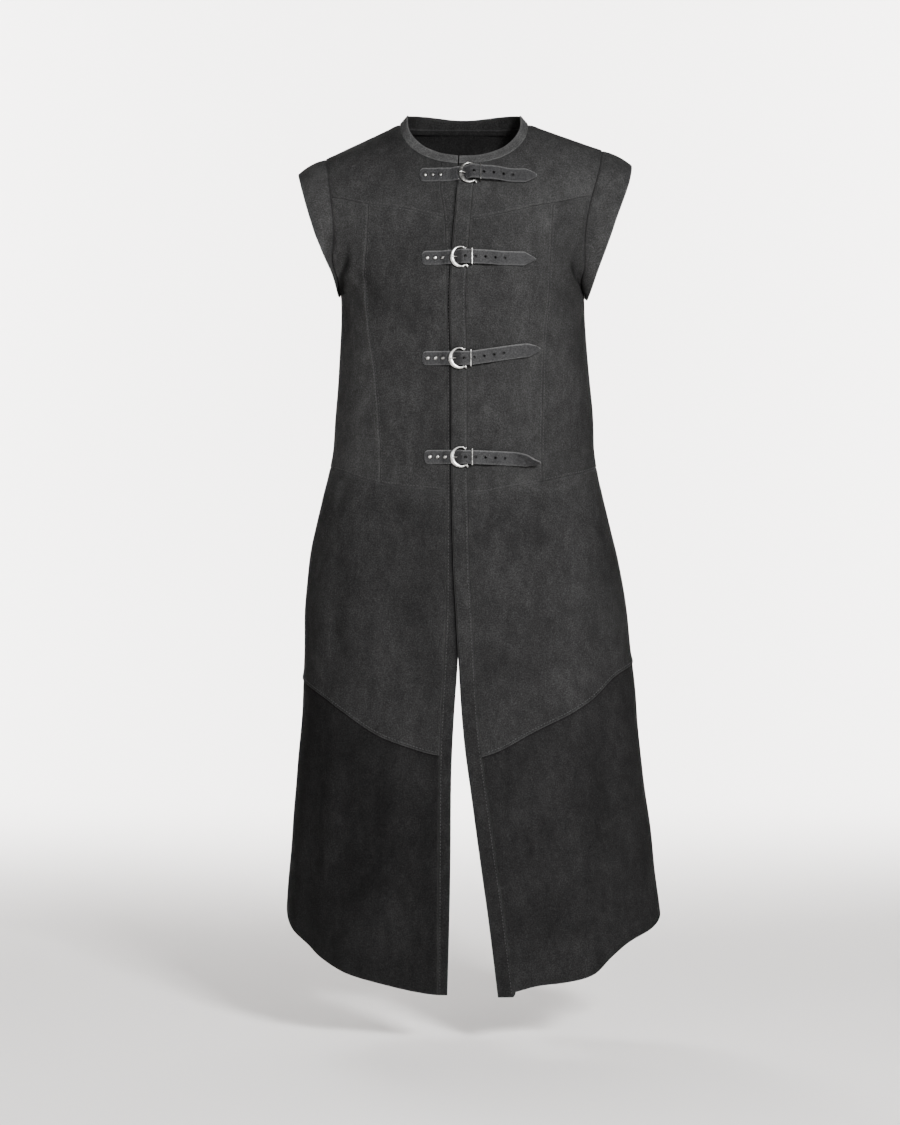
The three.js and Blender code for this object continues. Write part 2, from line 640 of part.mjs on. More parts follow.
for (const { name, sign, key, lifted } of sides) {
  const seamX = (z) => edgeX(sign, z, "seam");
  const princessX = (z) => readTable(princessRows, "z", z, name);
  const neckSeamX = seamX(-59);
  const neck = neckRun(sign, neckSeamX, yokeNeckRows);
  neckFront[name] = neck;
  const bandTop = { turn: turnAtX(neckSeamX, neckLevelAt(neckSeamX)), z: neckLevelAt(neckSeamX) };
  neck[neck.length - 1] = bandTop;

  const yokeBand = meet(seamX, frontSeamRows, `yoke${key}`, -137);
  const waistBand = meet(seamX, frontSeamRows, `waist${key}`, -504);
  const flapBand = meet(seamX, skirtSeamRows, `flap${key}`, -852);
  const hemBand = meet(seamX, skirtSeamRows, `hem${key}`, -1174);
  const yokePrincess = meet(princessX, frontSeamRows, `yoke${key}`, -118);
  const waistPrincess = meet(princessX, frontSeamRows, `waist${key}`, -491);

  // The yoke seam ends on the armhole.
  let yokeArm = -107;
  for (let i = 0; i < 30; i += 1) {
    const u = armholeAngle(name, yokeArm, "front") * 2 / Math.PI;
    yokeArm = mix(yokeArm, readTable(frontSeamRows, "u", u, `yoke${key}`), 0.7);
  }
  const yokeArmTurn = armholeTurnAt(name, yokeArm);
  const armUpper = armholeRun(name, sign, "front", 0, yokeArmTurn, yokeNeckRows + yokeBandRows);
  const armLower = armholeRun(name, sign, "front", yokeArmTurn, 180, bodiceArmRows);

  const bandYoke = edgeRun(sign, "seam", bandTop.z, yokeBand.z, yokeBandRows);
  const princessRun = [];
  const bodiceRows = bodiceArmRows + bodiceSideRows;
  for (let i = 0; i <= bodiceRows; i += 1) {
    const z = mix(yokePrincess.z, waistPrincess.z, i / bodiceRows);
    princessRun.push({ turn: turnAtX(princessX(z), z), z });
  }
  const yokeColumn = `yoke${key}`;
  const waistColumn = `waist${key}`;
  const yokeCentre = crossRun(frontSeamRows, yokeColumn, yokeBand.turn, yokePrincess.turn, columnsEach);
  const armTurn = armUpper[armUpper.length - 1].turn;
  const yokeSide = crossRun(frontSeamRows, yokeColumn, yokePrincess.turn, armTurn, columnsEach);
  yokeSide[columnsEach].z = armUpper[armUpper.length - 1].z;

  const yokeTop = shoulderRun(name, sign, 2 * columnsEach);
  addPanel(`front_yoke_${name}`, {
    top: yokeTop,
    bottom: joinRuns(yokeCentre, yokeSide),
    left: joinRuns(neck, bandYoke),
    right: armUpper,
  }, lifted);

  const waistCentre = crossRun(frontSeamRows, waistColumn, waistBand.turn, waistPrincess.turn, columnsEach);
  const waistSide = crossRun(frontSeamRows, waistColumn, waistPrincess.turn, sign, columnsEach);
  const bandBodice = edgeRun(sign, "seam", yokeBand.z, waistBand.z, bodiceRows);
  addPanel(`front_centre_${name}`, {
    top: yokeCentre,
    bottom: waistCentre,
    left: bandBodice,
    right: princessRun,
  }, lifted);

  const sideSeam = [];
  for (let i = 0; i <= bodiceSideRows; i += 1) {
    sideSeam.push({ turn: sign, z: mix(-underarmDrop[name], waistSide[columnsEach].z, i / bodiceSideRows) });
  }
  addPanel(`front_side_${name}`, {
    top: yokeSide,
    bottom: waistSide,
    left: princessRun,
    right: joinRuns(armLower, sideSeam),
  }, lifted);

  const waistAll = joinRuns(waistCentre, waistSide);
  const columnsAll = 2 * columnsEach;
  const flapAll = crossRun(skirtSeamRows, `flap${key}`, flapBand.turn, sign, columnsAll);
  const hemAll = crossRun(skirtSeamRows, `hem${key}`, hemBand.turn, sign, columnsAll);
  const bandUpper = edgeRun(sign, "seam", waistBand.z, flapBand.z, upperRows);
  const bandLower = edgeRun(sign, "seam", flapBand.z, hemBand.z, lowerRows);
  const sideRun = (from, to, rows) => {
    const run = [];
    for (let i = 0; i <= rows; i += 1) {
      run.push({ turn: sign, z: mix(from, to, i / rows) });
    }
    return run;
  };
  const waistSideZ = waistAll[columnsAll].z;
  const flapSideZ = flapAll[columnsAll].z;
  const hemSideZ = hemAll[columnsAll].z;
  addPanel(`skirt_upper_front_${name}`, {
    top: waistAll,
    bottom: flapAll,
    left: bandUpper,
    right: sideRun(waistSideZ, flapSideZ, upperRows),
  }, lifted);
  addPanel(`skirt_lower_front_${name}`, {
    top: flapAll,
    bottom: hemAll,
    left: bandLower,
    right: sideRun(flapSideZ, hemSideZ, lowerRows),
  }, lifted);

  // The front band runs from the neck seam to the hem.
  const seamSide = joinRuns(bandYoke, bandBodice, bandUpper, bandLower);
  const bandDrop = lifted ? overBandDrop : 0;
  const lastRow = seamSide.length - 1;
  const seamLine = seamSide.map((spot, i) => {
    const z = i === lastRow ? spot.z - bandDrop : spot.z;
    return { turn: turnAtX(seamX(z), z), z };
  });
  const edgeLine = seamLine.map((spot, i) => {
    const z = i === 0 ? neckLevelAt(edgeX(sign, spot.z, "edge")) : spot.z;
    return { turn: turnAtX(edgeX(sign, z, "edge"), z), z };
  });
  bandTops[name] = edgeLine[0];
  addPanel(`front_band_${name}`, {
    top: [seamLine[0], edgeLine[0]],
    bottom: [seamLine[lastRow], edgeLine[lastRow]],
    left: seamLine,
    right: edgeLine,
  }, lifted, bandLook, bandRise, bandWall);

  // Back skirt: upper and lower panels on each side of the slit.
  const backColumns = backShoulderColumns + backNeckColumns / 2;
  const slitX = (z) => (z > slitTop ? 0 : readTable(slitRows, "z", z, name));
  const backRun = (sideZ, drop) => {
    const run = [];
    const centreZ = sideZ - drop;
    const slitTurn = turnAtX(sign * Math.abs(slitX(centreZ)), centreZ, "back");
    const endTurn = drop === backDrop.waist ? sign * 2 : slitTurn;
    for (let i = 0; i <= backColumns; i += 1) {
      const part = i / backColumns;
      run.push({ turn: mix(sign, endTurn, part), z: sideZ - drop * easeStep(part) });
    }
    return run;
  };
  const centreRun = (from, to, rows) => {
    const run = [];
    for (let i = 0; i <= rows; i += 1) {
      const z = mix(from, to, i / rows);
      const x = slitX(z);
      run.push({ turn: x === 0 ? sign * 2 : turnAtX(x, z, "back"), z });
    }
    return run;
  };
  const backWaist = backRun(waistSideZ, backDrop.waist);
  const backFlap = backRun(flapSideZ, backDrop.flap);
  const backHem = backRun(hemSideZ, backDrop.hem);
  addPanel(`back_skirt_upper_${name}`, {
    top: backWaist,
    bottom: backFlap,
    left: sideRun(waistSideZ, flapSideZ, upperRows),
    right: centreRun(backWaist[backColumns].z, backFlap[backColumns].z, upperRows),
  }, false);
  addPanel(`back_skirt_lower_${name}`, {
    top: backFlap,
    bottom: backHem,
    left: sideRun(flapSideZ, hemSideZ, lowerRows),
    right: centreRun(backFlap[backColumns].z, backHem[backColumns].z, lowerRows),
  }, false);

  // Cap sleeve: from the armhole seam out to its opening.
  const bodyRing = [
    ...armUpper.slice(0, -1),
    ...armLower.slice(0, -1),
    ...armholeRun(name, sign, "back", 180, 0, backArmRows).slice(0, -1),
  ];
  const turns = [];
  for (let i = 0; i < yokeNeckRows + yokeBandRows; i += 1) {
    turns.push(mix(0, yokeArmTurn, i / (yokeNeckRows + yokeBandRows)));
  }
  for (let i = 0; i < bodiceArmRows; i += 1) {
    turns.push(mix(yokeArmTurn, 180, i / bodiceArmRows));
  }
  for (let i = 0; i < backArmRows; i += 1) {
    turns.push(mix(180, 360, i / backArmRows));
  }
  const outer = [];
  const inner = [];
  for (let i = 0; i <= sleeveBands; i += 1) {
    const s = i / sleeveBands;
    const outerLine = [];
    const innerLine = [];
    for (let j = 0; j < bodyRing.length; j += 1) {
      const around = turns[j];
      const fold = around > 180 ? 360 - around : around;
      const seam = formPoint(bodyRing[j].turn, bodyRing[j].z);
      const openingDown = (1 - Math.cos(fold * Math.PI / 180)) / 2;
      const opening = new THREE.Vector3(
        sign * readRing(openingRows, fold, name),
        (around > 180 ? sleeveDepth.back : -sleeveDepth.front) * Math.sin(fold * Math.PI / 180),
        mix(openingTop[name], openingBottom[name], openingDown),
      );
      const outward = new THREE.Vector3(
        0,
        (around > 180 ? 1 : -1) * Math.sin(fold * Math.PI / 180),
        Math.cos(fold * Math.PI / 180),
      );
      seam.x += sign * seamGap;
      const point = seam.lerp(opening, s);
      point.addScaledVector(outward, sleeveBulge * 4 * s * (1 - s));
      outerLine.push(point);
      innerLine.push(point.clone().addScaledVector(outward, -clothWall));
    }
    outer.push(outerLine);
    inner.push(innerLine);
  }
  addWall(`cap_sleeve_${name}`, outer, inner, bandLook, true);
}

// Back bodice: one piece from shoulder to waist.
const backColumnsAll = 2 * backShoulderColumns + backNeckColumns;
const backTop = [];
for (let i = 0; i <= backShoulderColumns; i += 1) {
  backTop.push({ turn: 1, z: -shoulderDrop.left * (1 - i / backShoulderColumns) });
}
for (let i = 1; i <= backNeckColumns; i += 1) {
  backTop.push({ turn: 1 + 2 * i / backNeckColumns, z: 0 });
}
for (let i = 1; i <= backShoulderColumns; i += 1) {
  backTop.push({ turn: 3, z: -shoulderDrop.right * i / backShoulderColumns });
}
const backWaistAll = [];
for (let i = 0; i <= backColumnsAll; i += 1) {
  const part = i / backColumnsAll;
  const fromSide = 1 - Math.abs(2 * part - 1);
  const sideZ = readTable(frontSeamRows, "u", 1, "waistRight");
  backWaistAll.push({ turn: 1 + 2 * part, z: sideZ - backDrop.waist * easeStep(fromSide) });
}
const backSide = (side, turn, direction) => {
  const run = armholeRun(side, 1, "back", 0, 180, backArmRows).map((spot) => {
    return { turn: direction > 0 ? spot.turn : 4 - spot.turn, z: spot.z };
  });
  const waistZ = readTable(frontSeamRows, "u", 1, "waistRight");
  for (let i = 1; i <= bodiceSideRows; i += 1) {
    run.push({ turn, z: mix(-underarmDrop[side], waistZ, i / bodiceSideRows) });
  }
  return run;
};
addPanel("back_bodice", {
  top: backTop,
  bottom: backWaistAll,
  left: backSide("left", 1, 1),
  right: backSide("right", 3, -1),
  topFade: 3,
}, false);

// Collar band: stands from the neck seam, open at the centre front.
const backNeck = [];
for (let i = 1; i < backNeckColumns; i += 1) {
  backNeck.push({ turn: -1 - 2 * i / backNeckColumns, z: 0 });
}
const collarSpots = [
  bandTops.right,
  ...[...neckFront.right].reverse(),
  ...backNeck,
  ...neckFront.left,
  bandTops.left,
];
const collarOuter = [[], []];
const collarInner = [[], []];
for (const spot of collarSpots) {
  const seam = formPoint(spot.turn, spot.z);
  const normal = formNormal(spot.turn, spot.z);
  const facing = new THREE.Vector3(seam.x / neckHalfWidth, seam.y / neckDrop, 0).normalize();
  const frontShare = Math.max(0, -facing.y) ** 2;
  const backShare = Math.max(0, facing.y) ** 2;
  const sideShare = 1 - frontShare - backShare;
  const blend = (sizes) => sizes.front * frontShare + sizes.side * sideShare + sizes.back * backShare;
  const away = facing.clone().multiplyScalar(-blend(collarLean));
  away.z = blend(collarRise);
  const along = away.clone().normalize();
  const bottom = seam.clone().addScaledVector(along, seamGap / 2);
  const top = seam.clone().add(away);
  const wall = along.clone().cross(new THREE.Vector3(-facing.y, facing.x, 0)).normalize();
  if (wall.dot(normal) < 0) {
    wall.negate();
  }
  collarOuter[0].push(top.clone().addScaledVector(wall, bandRise));
  collarOuter[1].push(bottom.clone().addScaledVector(normal, bandRise));
  collarInner[0].push(top.clone().addScaledVector(wall, bandRise - bandWall));
  collarInner[1].push(bottom.clone().addScaledVector(normal, bandRise - bandWall));
}
addWall("collar_band", collarOuter, collarInner, bandLook);

// A spot of a closure: x across the front, w up the strap, h out from the form.
function closurePoint(closure, x, w, h) {
  const bend = Math.max(0, x - keeper.x);
  const slope = bend > 0 ? closure.tilt : 0;
  const z = closure.z + bend * closure.tilt + w / Math.hypot(1, slope);
  const shiftedX = closure.x + x - w * slope / Math.hypot(1, slope);
  const turn = turnAtX(shiftedX, z);
  return formPoint(turn, z).addScaledVector(formNormal(turn, z), h);
}

// A strip swept along a path of middle points, three cells wide. Holes take the middle cells.
function addStrip(name, closure, path, wall, material, holes = []) {
  const vertices = [];
  const faces = [];
  const last = path.length - 1;
  const turnOf = (i) => {
    const before = path[Math.max(0, i - 1)];
    const after = path[Math.min(last, i + 1)];
    const run = Math.hypot(after.x - before.x, after.h - before.h);
    return { x: -(after.h - before.h) / run, h: (after.x - before.x) / run };
  };
  const place = (x, w, h) => {
    vertices.push(closurePoint(closure, x, w, h));
    return vertices.length - 1;
  };
  const layers = [wall / 2, -wall / 2].map((offset) => path.map((spot, i) => {
    const out = turnOf(i);
    const columns = [-spot.half, -spot.slot, spot.slot, spot.half];
    return columns.map((w) => place(spot.x + out.x * offset, w, spot.h + out.h * offset));
  }));
  const quad = (a, b, c, d) => {
    faces.push([a, b, c], [a, c, d]);
  };
  const [top, low] = layers;
  const isOpen = (i, j) => j === 1 && holes.some((hole) => hole.cell === i);
  for (let i = 0; i < last; i += 1) {
    for (let j = 0; j < 3; j += 1) {
      if (isOpen(i, j)) {
        continue;
      }
      quad(top[i][j], top[i + 1][j], top[i + 1][j + 1], top[i][j + 1]);
      quad(low[i][j], low[i][j + 1], low[i + 1][j + 1], low[i + 1][j]);
    }
    quad(top[i][0], low[i][0], low[i + 1][0], top[i + 1][0]);
    quad(top[i][3], top[i + 1][3], low[i + 1][3], low[i][3]);
  }
  for (let j = 0; j < 3; j += 1) {
    quad(top[0][j], top[0][j + 1], low[0][j + 1], low[0][j]);
    quad(top[last][j], low[last][j], low[last][j + 1], top[last][j + 1]);
  }
  for (const hole of holes) {
    const i = hole.cell;
    if (!hole.round) {
      quad(top[i][1], top[i + 1][1], low[i + 1][1], low[i][1]);
      quad(top[i][2], low[i][2], low[i + 1][2], top[i + 1][2]);
      if (hole.first) {
        quad(top[i][1], low[i][1], low[i][2], top[i][2]);
      }
      if (hole.last) {
        quad(top[i + 1][1], top[i + 1][2], low[i + 1][2], low[i + 1][1]);
      }
      continue;
    }
    // An eight-sided hole inside one cell.
    const corners = [[i + 1, 2], [i, 2], [i, 1], [i + 1, 1]];
    const rims = layers.map((layer, k) => {
      const offset = (k === 0 ? 1 : -1) * wall / 2;
      const a = path[i];
      const b = path[i + 1];
      const run = Math.hypot(b.x - a.x, b.h - a.h);
      const out = { x: -(b.h - a.h) / run, h: (b.x - a.x) / run };
      const rim = [];
      for (let step = 0; step < 8; step += 1) {
        const angle = (22.5 + 45 * step) * Math.PI / 180;
        const along = 0.5 + hole.along * Math.cos(angle) / run;
        const w = hole.across * Math.sin(angle);
        const x = mix(a.x, b.x, along) + out.x * offset;
        rim.push(place(x, w, mix(a.h, b.h, along) + out.h * offset));
      }
      return rim;
    });
    for (let c = 0; c < 4; c += 1) {
      const near = corners[c];
      const next = corners[(c + 1) % 4];
      const p = [top, low].map((layer) => [layer[near[0]][near[1]], layer[next[0]][next[1]]]);
      const one = (2 * c) % 8;
      const two = (2 * c + 1) % 8;
      const three = (2 * c + 2) % 8;
      faces.push([p[0][0], rims[0][two], rims[0][one]], [p[0][0], p[0][1], rims[0][two]]);
      faces.push([p[0][1], rims[0][three], rims[0][two]]);
      faces.push([p[1][0], rims[1][one], rims[1][two]], [p[1][0], rims[1][two], p[1][1]]);
      faces.push([p[1][1], rims[1][two], rims[1][three]]);
      quad(rims[0][one], rims[0][two], rims[1][two], rims[1][one]);
      quad(rims[0][two], rims[0][three], rims[1][three], rims[1][two]);
    }
  }
  addMesh(name, vertices, faces, material);
}

// A round bar swept along a path of x and h spots at the middle of the strap.
function addRod(name, closure, path, material, sidesAround = 6) {
  const vertices = [];
  const faces = [];
  const last = path.length - 1;
  path.forEach((spot, i) => {
    const before = path[Math.max(0, i - 1)];
    const after = path[Math.min(last, i + 1)];
    const run = Math.hypot(after.x - before.x, after.h - before.h);
    const out = { x: -(after.h - before.h) / run, h: (after.x - before.x) / run };
    for (let k = 0; k < sidesAround; k += 1) {
      const angle = 2 * Math.PI * k / sidesAround;
      const reach = spot.radius * Math.cos(angle);
      const w = spot.radius * Math.sin(angle);
      vertices.push(closurePoint(closure, spot.x + out.x * reach, w, spot.h + out.h * reach));
    }
  });
  for (let i = 0; i < last; i += 1) {
    for (let k = 0; k < sidesAround; k += 1) {
      const a = i * sidesAround + k;
      const b = i * sidesAround + (k + 1) % sidesAround;
      faces.push([a, b, b + sidesAround], [a, b + sidesAround, a + sidesAround]);
    }
  }
  for (let k = 1; k + 1 < sidesAround; k += 1) {
    const end = last * sidesAround;
    faces.push([0, k + 1, k], [end, end + k, end + k + 1]);
  }
  addMesh(name, vertices, faces, material);
}

// The strap lies on the under front, steps up onto its band, then rides over the buckle.
function strapHeight(closure, x) {
  const pastSeam = closure.x + x - edgeX(-1, closure.z, "seam");
  const onBand = 1.3 + 0.65 * easeStep((pastSeam + 8) / 6);
  return Math.max(onBand, readTable(strapRows, "x", x, "h"));
}

function holeAt(i) {
  return i < 0 ? strapHoles.prongX : strapHoles.first + strapHoles.spacing * i;
}

function strapStations(closure) {
  const cornerSteps = [0, 0.08, 0.3, 0.6, 1];
  const xs = cornerSteps.map((step) => closure.start + step * strapCorner);
  const flatStart = closure.start + strapCorner;
  xs.push(mix(flatStart, -36, 0.35), mix(flatStart, -36, 0.7));
  for (const x of [-36, -33, -30, -27.5, -25, -22.5, -20, -13.5, -11.5, -3, 10.5, 67, 76]) {
    xs.push(x);
  }
  for (let i = -1; i < strapHoles.count; i += 1) {
    const reach = i < 0 ? prongHole.cell : strapHoles.cell;
    xs.push(holeAt(i) - reach, holeAt(i) + reach);
  }
  xs.push(closure.tip - strapPointLength, closure.tip - 6, closure.tip);
  const sorted = [...new Set(xs)].sort((a, b) => a - b);
  return sorted.filter((x) => x <= closure.tip && x >= closure.start);
}

for (const closure of closureRows) {
  const stations = strapStations(closure);
  const path = stations.map((x) => {
    const inCorner = Math.max(0, 1 - (x - closure.start) / strapCorner);
    const cornerDrop = strapCorner * (1 - Math.sqrt(1 - inCorner * inCorner));
    const startHalf = strapHalfWidth - cornerDrop;
    const toTip = Math.min(1, (closure.tip - x) / strapPointLength);
    const tipHalf = mix(2, strapHalfWidth, Math.pow(toTip, 0.8));
    const half = Math.min(startHalf, tipHalf);
    const lift = closure.tipLift * easeStep((x - 50) / (closure.tip - 50));
    const slot = Math.min(strapHoles.cell, half * 0.45);
    return { x, h: strapHeight(closure, x) + lift, half, slot };
  });
  const holes = [];
  for (let i = -1; i < strapHoles.count; i += 1) {
    const reach = i < 0 ? prongHole.cell : strapHoles.cell;
    const cell = stations.findIndex((station) => Math.abs(station - (holeAt(i) - reach)) < 1e-6);
    const along = i < 0 ? prongHole.along : strapHoles.radius;
    holes.push({ cell, round: true, along, across: strapHoles.radius });
  }
  addStrip(`strap_${closure.name}`, closure, path, strapWall, leatherLook, holes);

  // The chape folds round the bar, with a slot for the prong.
  const barX = (buckle.barLeft + buckle.barRight) / 2;
  const barH = buckle.barHeight;
  const foldRadius = buckle.wall / 2 + seamGap + chape.wall / 2;
  const seat = (x) => {
    const placeX = closure.x + x;
    const onBand = placeX < edgeX(1, closure.z, "seam") + 1 ? bandRise : 0;
    const easeClear = 0.4 * easeStep((x - 14) / 14);
    const lift = overLift(turnAtX(placeX, closure.z), closure.z);
    return lift + onBand + seamGap + chape.wall / 2 + easeClear;
  };
  const chapePath = chapeUnderStops.map((x) => ({ x, h: seat(x) }));
  for (const degrees of chapeFoldAngles) {
    const angle = degrees * Math.PI / 180;
    chapePath.push({ x: barX + foldRadius * Math.cos(angle), h: barH + foldRadius * Math.sin(angle) });
  }
  chapePath.push({ x: 5, h: barH + 0.9 });
  for (const row of chapeOverRows) {
    chapePath.push({ x: row.x, h: seat(row.x) + row.above });
  }
  for (const spot of chapePath) {
    spot.half = chape.halfWidth;
    spot.slot = chape.slotHalfWidth;
  }
  const slotHoles = [];
  for (let cell = chape.slotStart; cell <= chape.slotEnd; cell += 1) {
    slotHoles.push({ cell, first: cell === chape.slotStart, last: cell === chape.slotEnd });
  }
  addStrip(`chape_${closure.name}`, closure, chapePath, chape.wall, leatherLook, slotHoles);

  // Buckle: a bow that thins toward two flared horns, closed by its bar.
  const ringStations = [];
  for (let degrees = 360 - bowEnd; degrees >= bowEnd; degrees -= bowStep) {
    const angle = degrees * Math.PI / 180;
    const cusp = Math.abs(degrees - 180) === bowStep ? bowCusp : 0;
    const squared = (value) => Math.sign(value) * Math.pow(Math.abs(value), 2 / buckle.innerSquareness);
    ringStations.push({
      outX: buckle.centreX + buckle.halfHeight * Math.cos(angle),
      outW: buckle.halfHeight * Math.sin(angle),
      inX: buckle.innerCentreX + buckle.innerLength * squared(Math.cos(angle)) + cusp,
      inW: buckle.innerHalfHeight * squared(Math.sin(angle)),
    });
  }
  for (const row of hornRows) {
    ringStations.push(row);
  }
  for (const row of [...hornRows].reverse()) {
    ringStations.push({ outX: row.outX, outW: -row.outW, inX: row.inX, inW: -row.inW });
  }
  const ringVertices = [];
  const ringFaces = [];
  for (const station of ringStations) {
    const middleX = (station.outX + station.inX) / 2;
    const level = easeStep((middleX - buckle.left) / (barX - buckle.left));
    const middle = mix(buckle.bowHeight, buckle.barHeight, level);
    const width = Math.hypot(station.inX - station.outX, station.inW - station.outW);
    const bevel = buckle.bevel / width;
    const half = buckle.wall / 2;
    const profile = [
      { across: 0, h: -(half - buckle.bevel) },
      { across: 0, h: half - buckle.bevel },
      { across: bevel, h: half },
      { across: 1 - bevel, h: half },
      { across: 1, h: half - buckle.bevel },
      { across: 1, h: -(half - buckle.bevel) },
      { across: 1 - bevel, h: -half },
      { across: bevel, h: -half },
    ];
    for (const corner of profile) {
      const x = mix(station.outX, station.inX, corner.across);
      const w = mix(station.outW, station.inW, corner.across);
      ringVertices.push(closurePoint(closure, x, w, middle + corner.h));
    }
  }
  for (let i = 0; i < ringStations.length; i += 1) {
    const next = (i + 1) % ringStations.length;
    for (let k = 0; k < 8; k += 1) {
      const a = i * 8 + k;
      const b = i * 8 + (k + 1) % 8;
      const c = next * 8 + (k + 1) % 8;
      const d = next * 8 + k;
      ringFaces.push([a, b, c], [a, c, d]);
    }
  }
  addMesh(`buckle_${closure.name}`, ringVertices, ringFaces, metalLook);

  // Prong: its eye round the bar, its shaft through the strap, its tip on the bow.
  const prongEye = prongEyeAngles.map((degrees) => {
    const angle = degrees * Math.PI / 180;
    const x = barX + prongEyeRadius * Math.cos(angle);
    return { x, h: barH + prongEyeRadius * Math.sin(angle), radius: prongWire };
  });
  addRod(`prong_${closure.name}`, closure, [...prongEye, ...prongRows], metalLook);

  // Keeper: a metal staple over the strap.
  const strapTop = strapHeight(closure, keeper.x) + strapWall / 2 + keeper.clearance;
  const legFoot = seat(keeper.x) - chape.wall / 2 + 0.05;
  const legIn = strapHalfWidth + seamGap;
  const legOut = legIn + keeper.wall;
  const staple = [
    [-legOut, legFoot],
    [-legIn, legFoot],
    [-legIn, strapTop + seamGap],
    [legIn, strapTop + seamGap],
    [legIn, legFoot],
    [legOut, legFoot],
    [legOut, strapTop + seamGap + keeper.wall],
    [-legOut, strapTop + seamGap + keeper.wall],
  ];
  const stapleVertices = [];
  for (const offset of [-keeper.width / 2, keeper.width / 2]) {
    for (const [w, h] of staple) {
      stapleVertices.push(closurePoint({ ...closure, tilt: 0 }, keeper.x + offset, w, h));
    }
  }
  const stapleFaces = [];
  for (const [a, b, c, d] of [[0, 1, 2, 7], [7, 2, 3, 6], [3, 4, 5, 6]]) {
    stapleFaces.push([a, b, c], [a, c, d]);
    stapleFaces.push([a + 8, c + 8, b + 8], [a + 8, d + 8, c + 8]);
  }
  for (let k = 0; k < 8; k += 1) {
    const next = (k + 1) % 8;
    stapleFaces.push([k, k + 8, next + 8], [k, next + 8, next]);
  }
  addMesh(`keeper_${closure.name}`, stapleVertices, stapleFaces, metalLook);

  // Rivets: low domes on the strap's fixed end.
  for (let i = 0; i < rivet.count; i += 1) {
    const x = closure.start + rivet.first + rivet.spacing * i;
    const onStrap = (dx, w, rise) => {
      const strapH = (along) => strapHeight(closure, along);
      const slope = strapH(x + dx + 0.5) - strapH(x + dx - 0.5);
      const reach = (strapWall / 2 + seamGap + rise) / Math.hypot(1, slope);
      return closurePoint(closure, x + dx - slope * reach, w, strapH(x + dx) + reach);
    };
    const rings = [
      { radius: rivet.radius * 0.92, h: 0 },
      { radius: rivet.radius, h: 0.45 },
      { radius: rivet.radius * 0.72, h: rivet.rise * 0.8 },
    ];
    const points = [onStrap(0, 0, 0)];
    for (const ring of rings) {
      for (let k = 0; k < rivetSides; k += 1) {
        const angle = 2 * Math.PI * k / rivetSides;
        points.push(onStrap(ring.radius * Math.cos(angle), ring.radius * Math.sin(angle), ring.h));
      }
    }
    points.push(onStrap(0, 0, rivet.rise));
    const rivetFaces = [];
    const topRing = 1 + 2 * rivetSides;
    for (let k = 0; k < rivetSides; k += 1) {
      const next = (k + 1) % rivetSides;
      rivetFaces.push([0, 1 + next, 1 + k]);
      for (let level = 0; level < 2; level += 1) {
        const low = 1 + level * rivetSides;
        const high = low + rivetSides;
        rivetFaces.push([low + k, low + next, high + next], [low + k, high + next, high + k]);
      }
      rivetFaces.push([topRing + k, topRing + next, topRing + rivetSides]);
    }
    addMesh(`rivet_${closure.name}_${i + 1}`, points, rivetFaces, metalLook);
  }
}

export default vest;
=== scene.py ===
import math

import bmesh
import bpy
import numpy as np
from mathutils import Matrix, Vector


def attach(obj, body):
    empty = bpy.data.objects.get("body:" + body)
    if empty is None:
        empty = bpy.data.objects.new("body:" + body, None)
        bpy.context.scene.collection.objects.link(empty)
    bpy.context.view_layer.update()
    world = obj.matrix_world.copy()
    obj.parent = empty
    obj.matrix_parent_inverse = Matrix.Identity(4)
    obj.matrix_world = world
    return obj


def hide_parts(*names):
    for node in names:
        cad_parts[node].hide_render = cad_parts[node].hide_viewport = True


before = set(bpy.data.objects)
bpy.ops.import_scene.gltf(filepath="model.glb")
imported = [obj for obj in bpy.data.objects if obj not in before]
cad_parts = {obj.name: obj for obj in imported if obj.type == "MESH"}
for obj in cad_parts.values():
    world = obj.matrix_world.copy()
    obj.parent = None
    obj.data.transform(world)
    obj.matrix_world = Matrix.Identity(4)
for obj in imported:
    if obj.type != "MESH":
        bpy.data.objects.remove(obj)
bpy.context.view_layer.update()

mm = 0.001                     # the tables below are in millimetres, the objects in metres

# A long suede vest, as worn. +Z is up and the front faces -Y. "right" and "left" are the
# wearer's own sides: right is -X. The turn runs 0 at the centre front, 1 at the side seams
# and 2 at the centre back, below zero on the wearer's right.

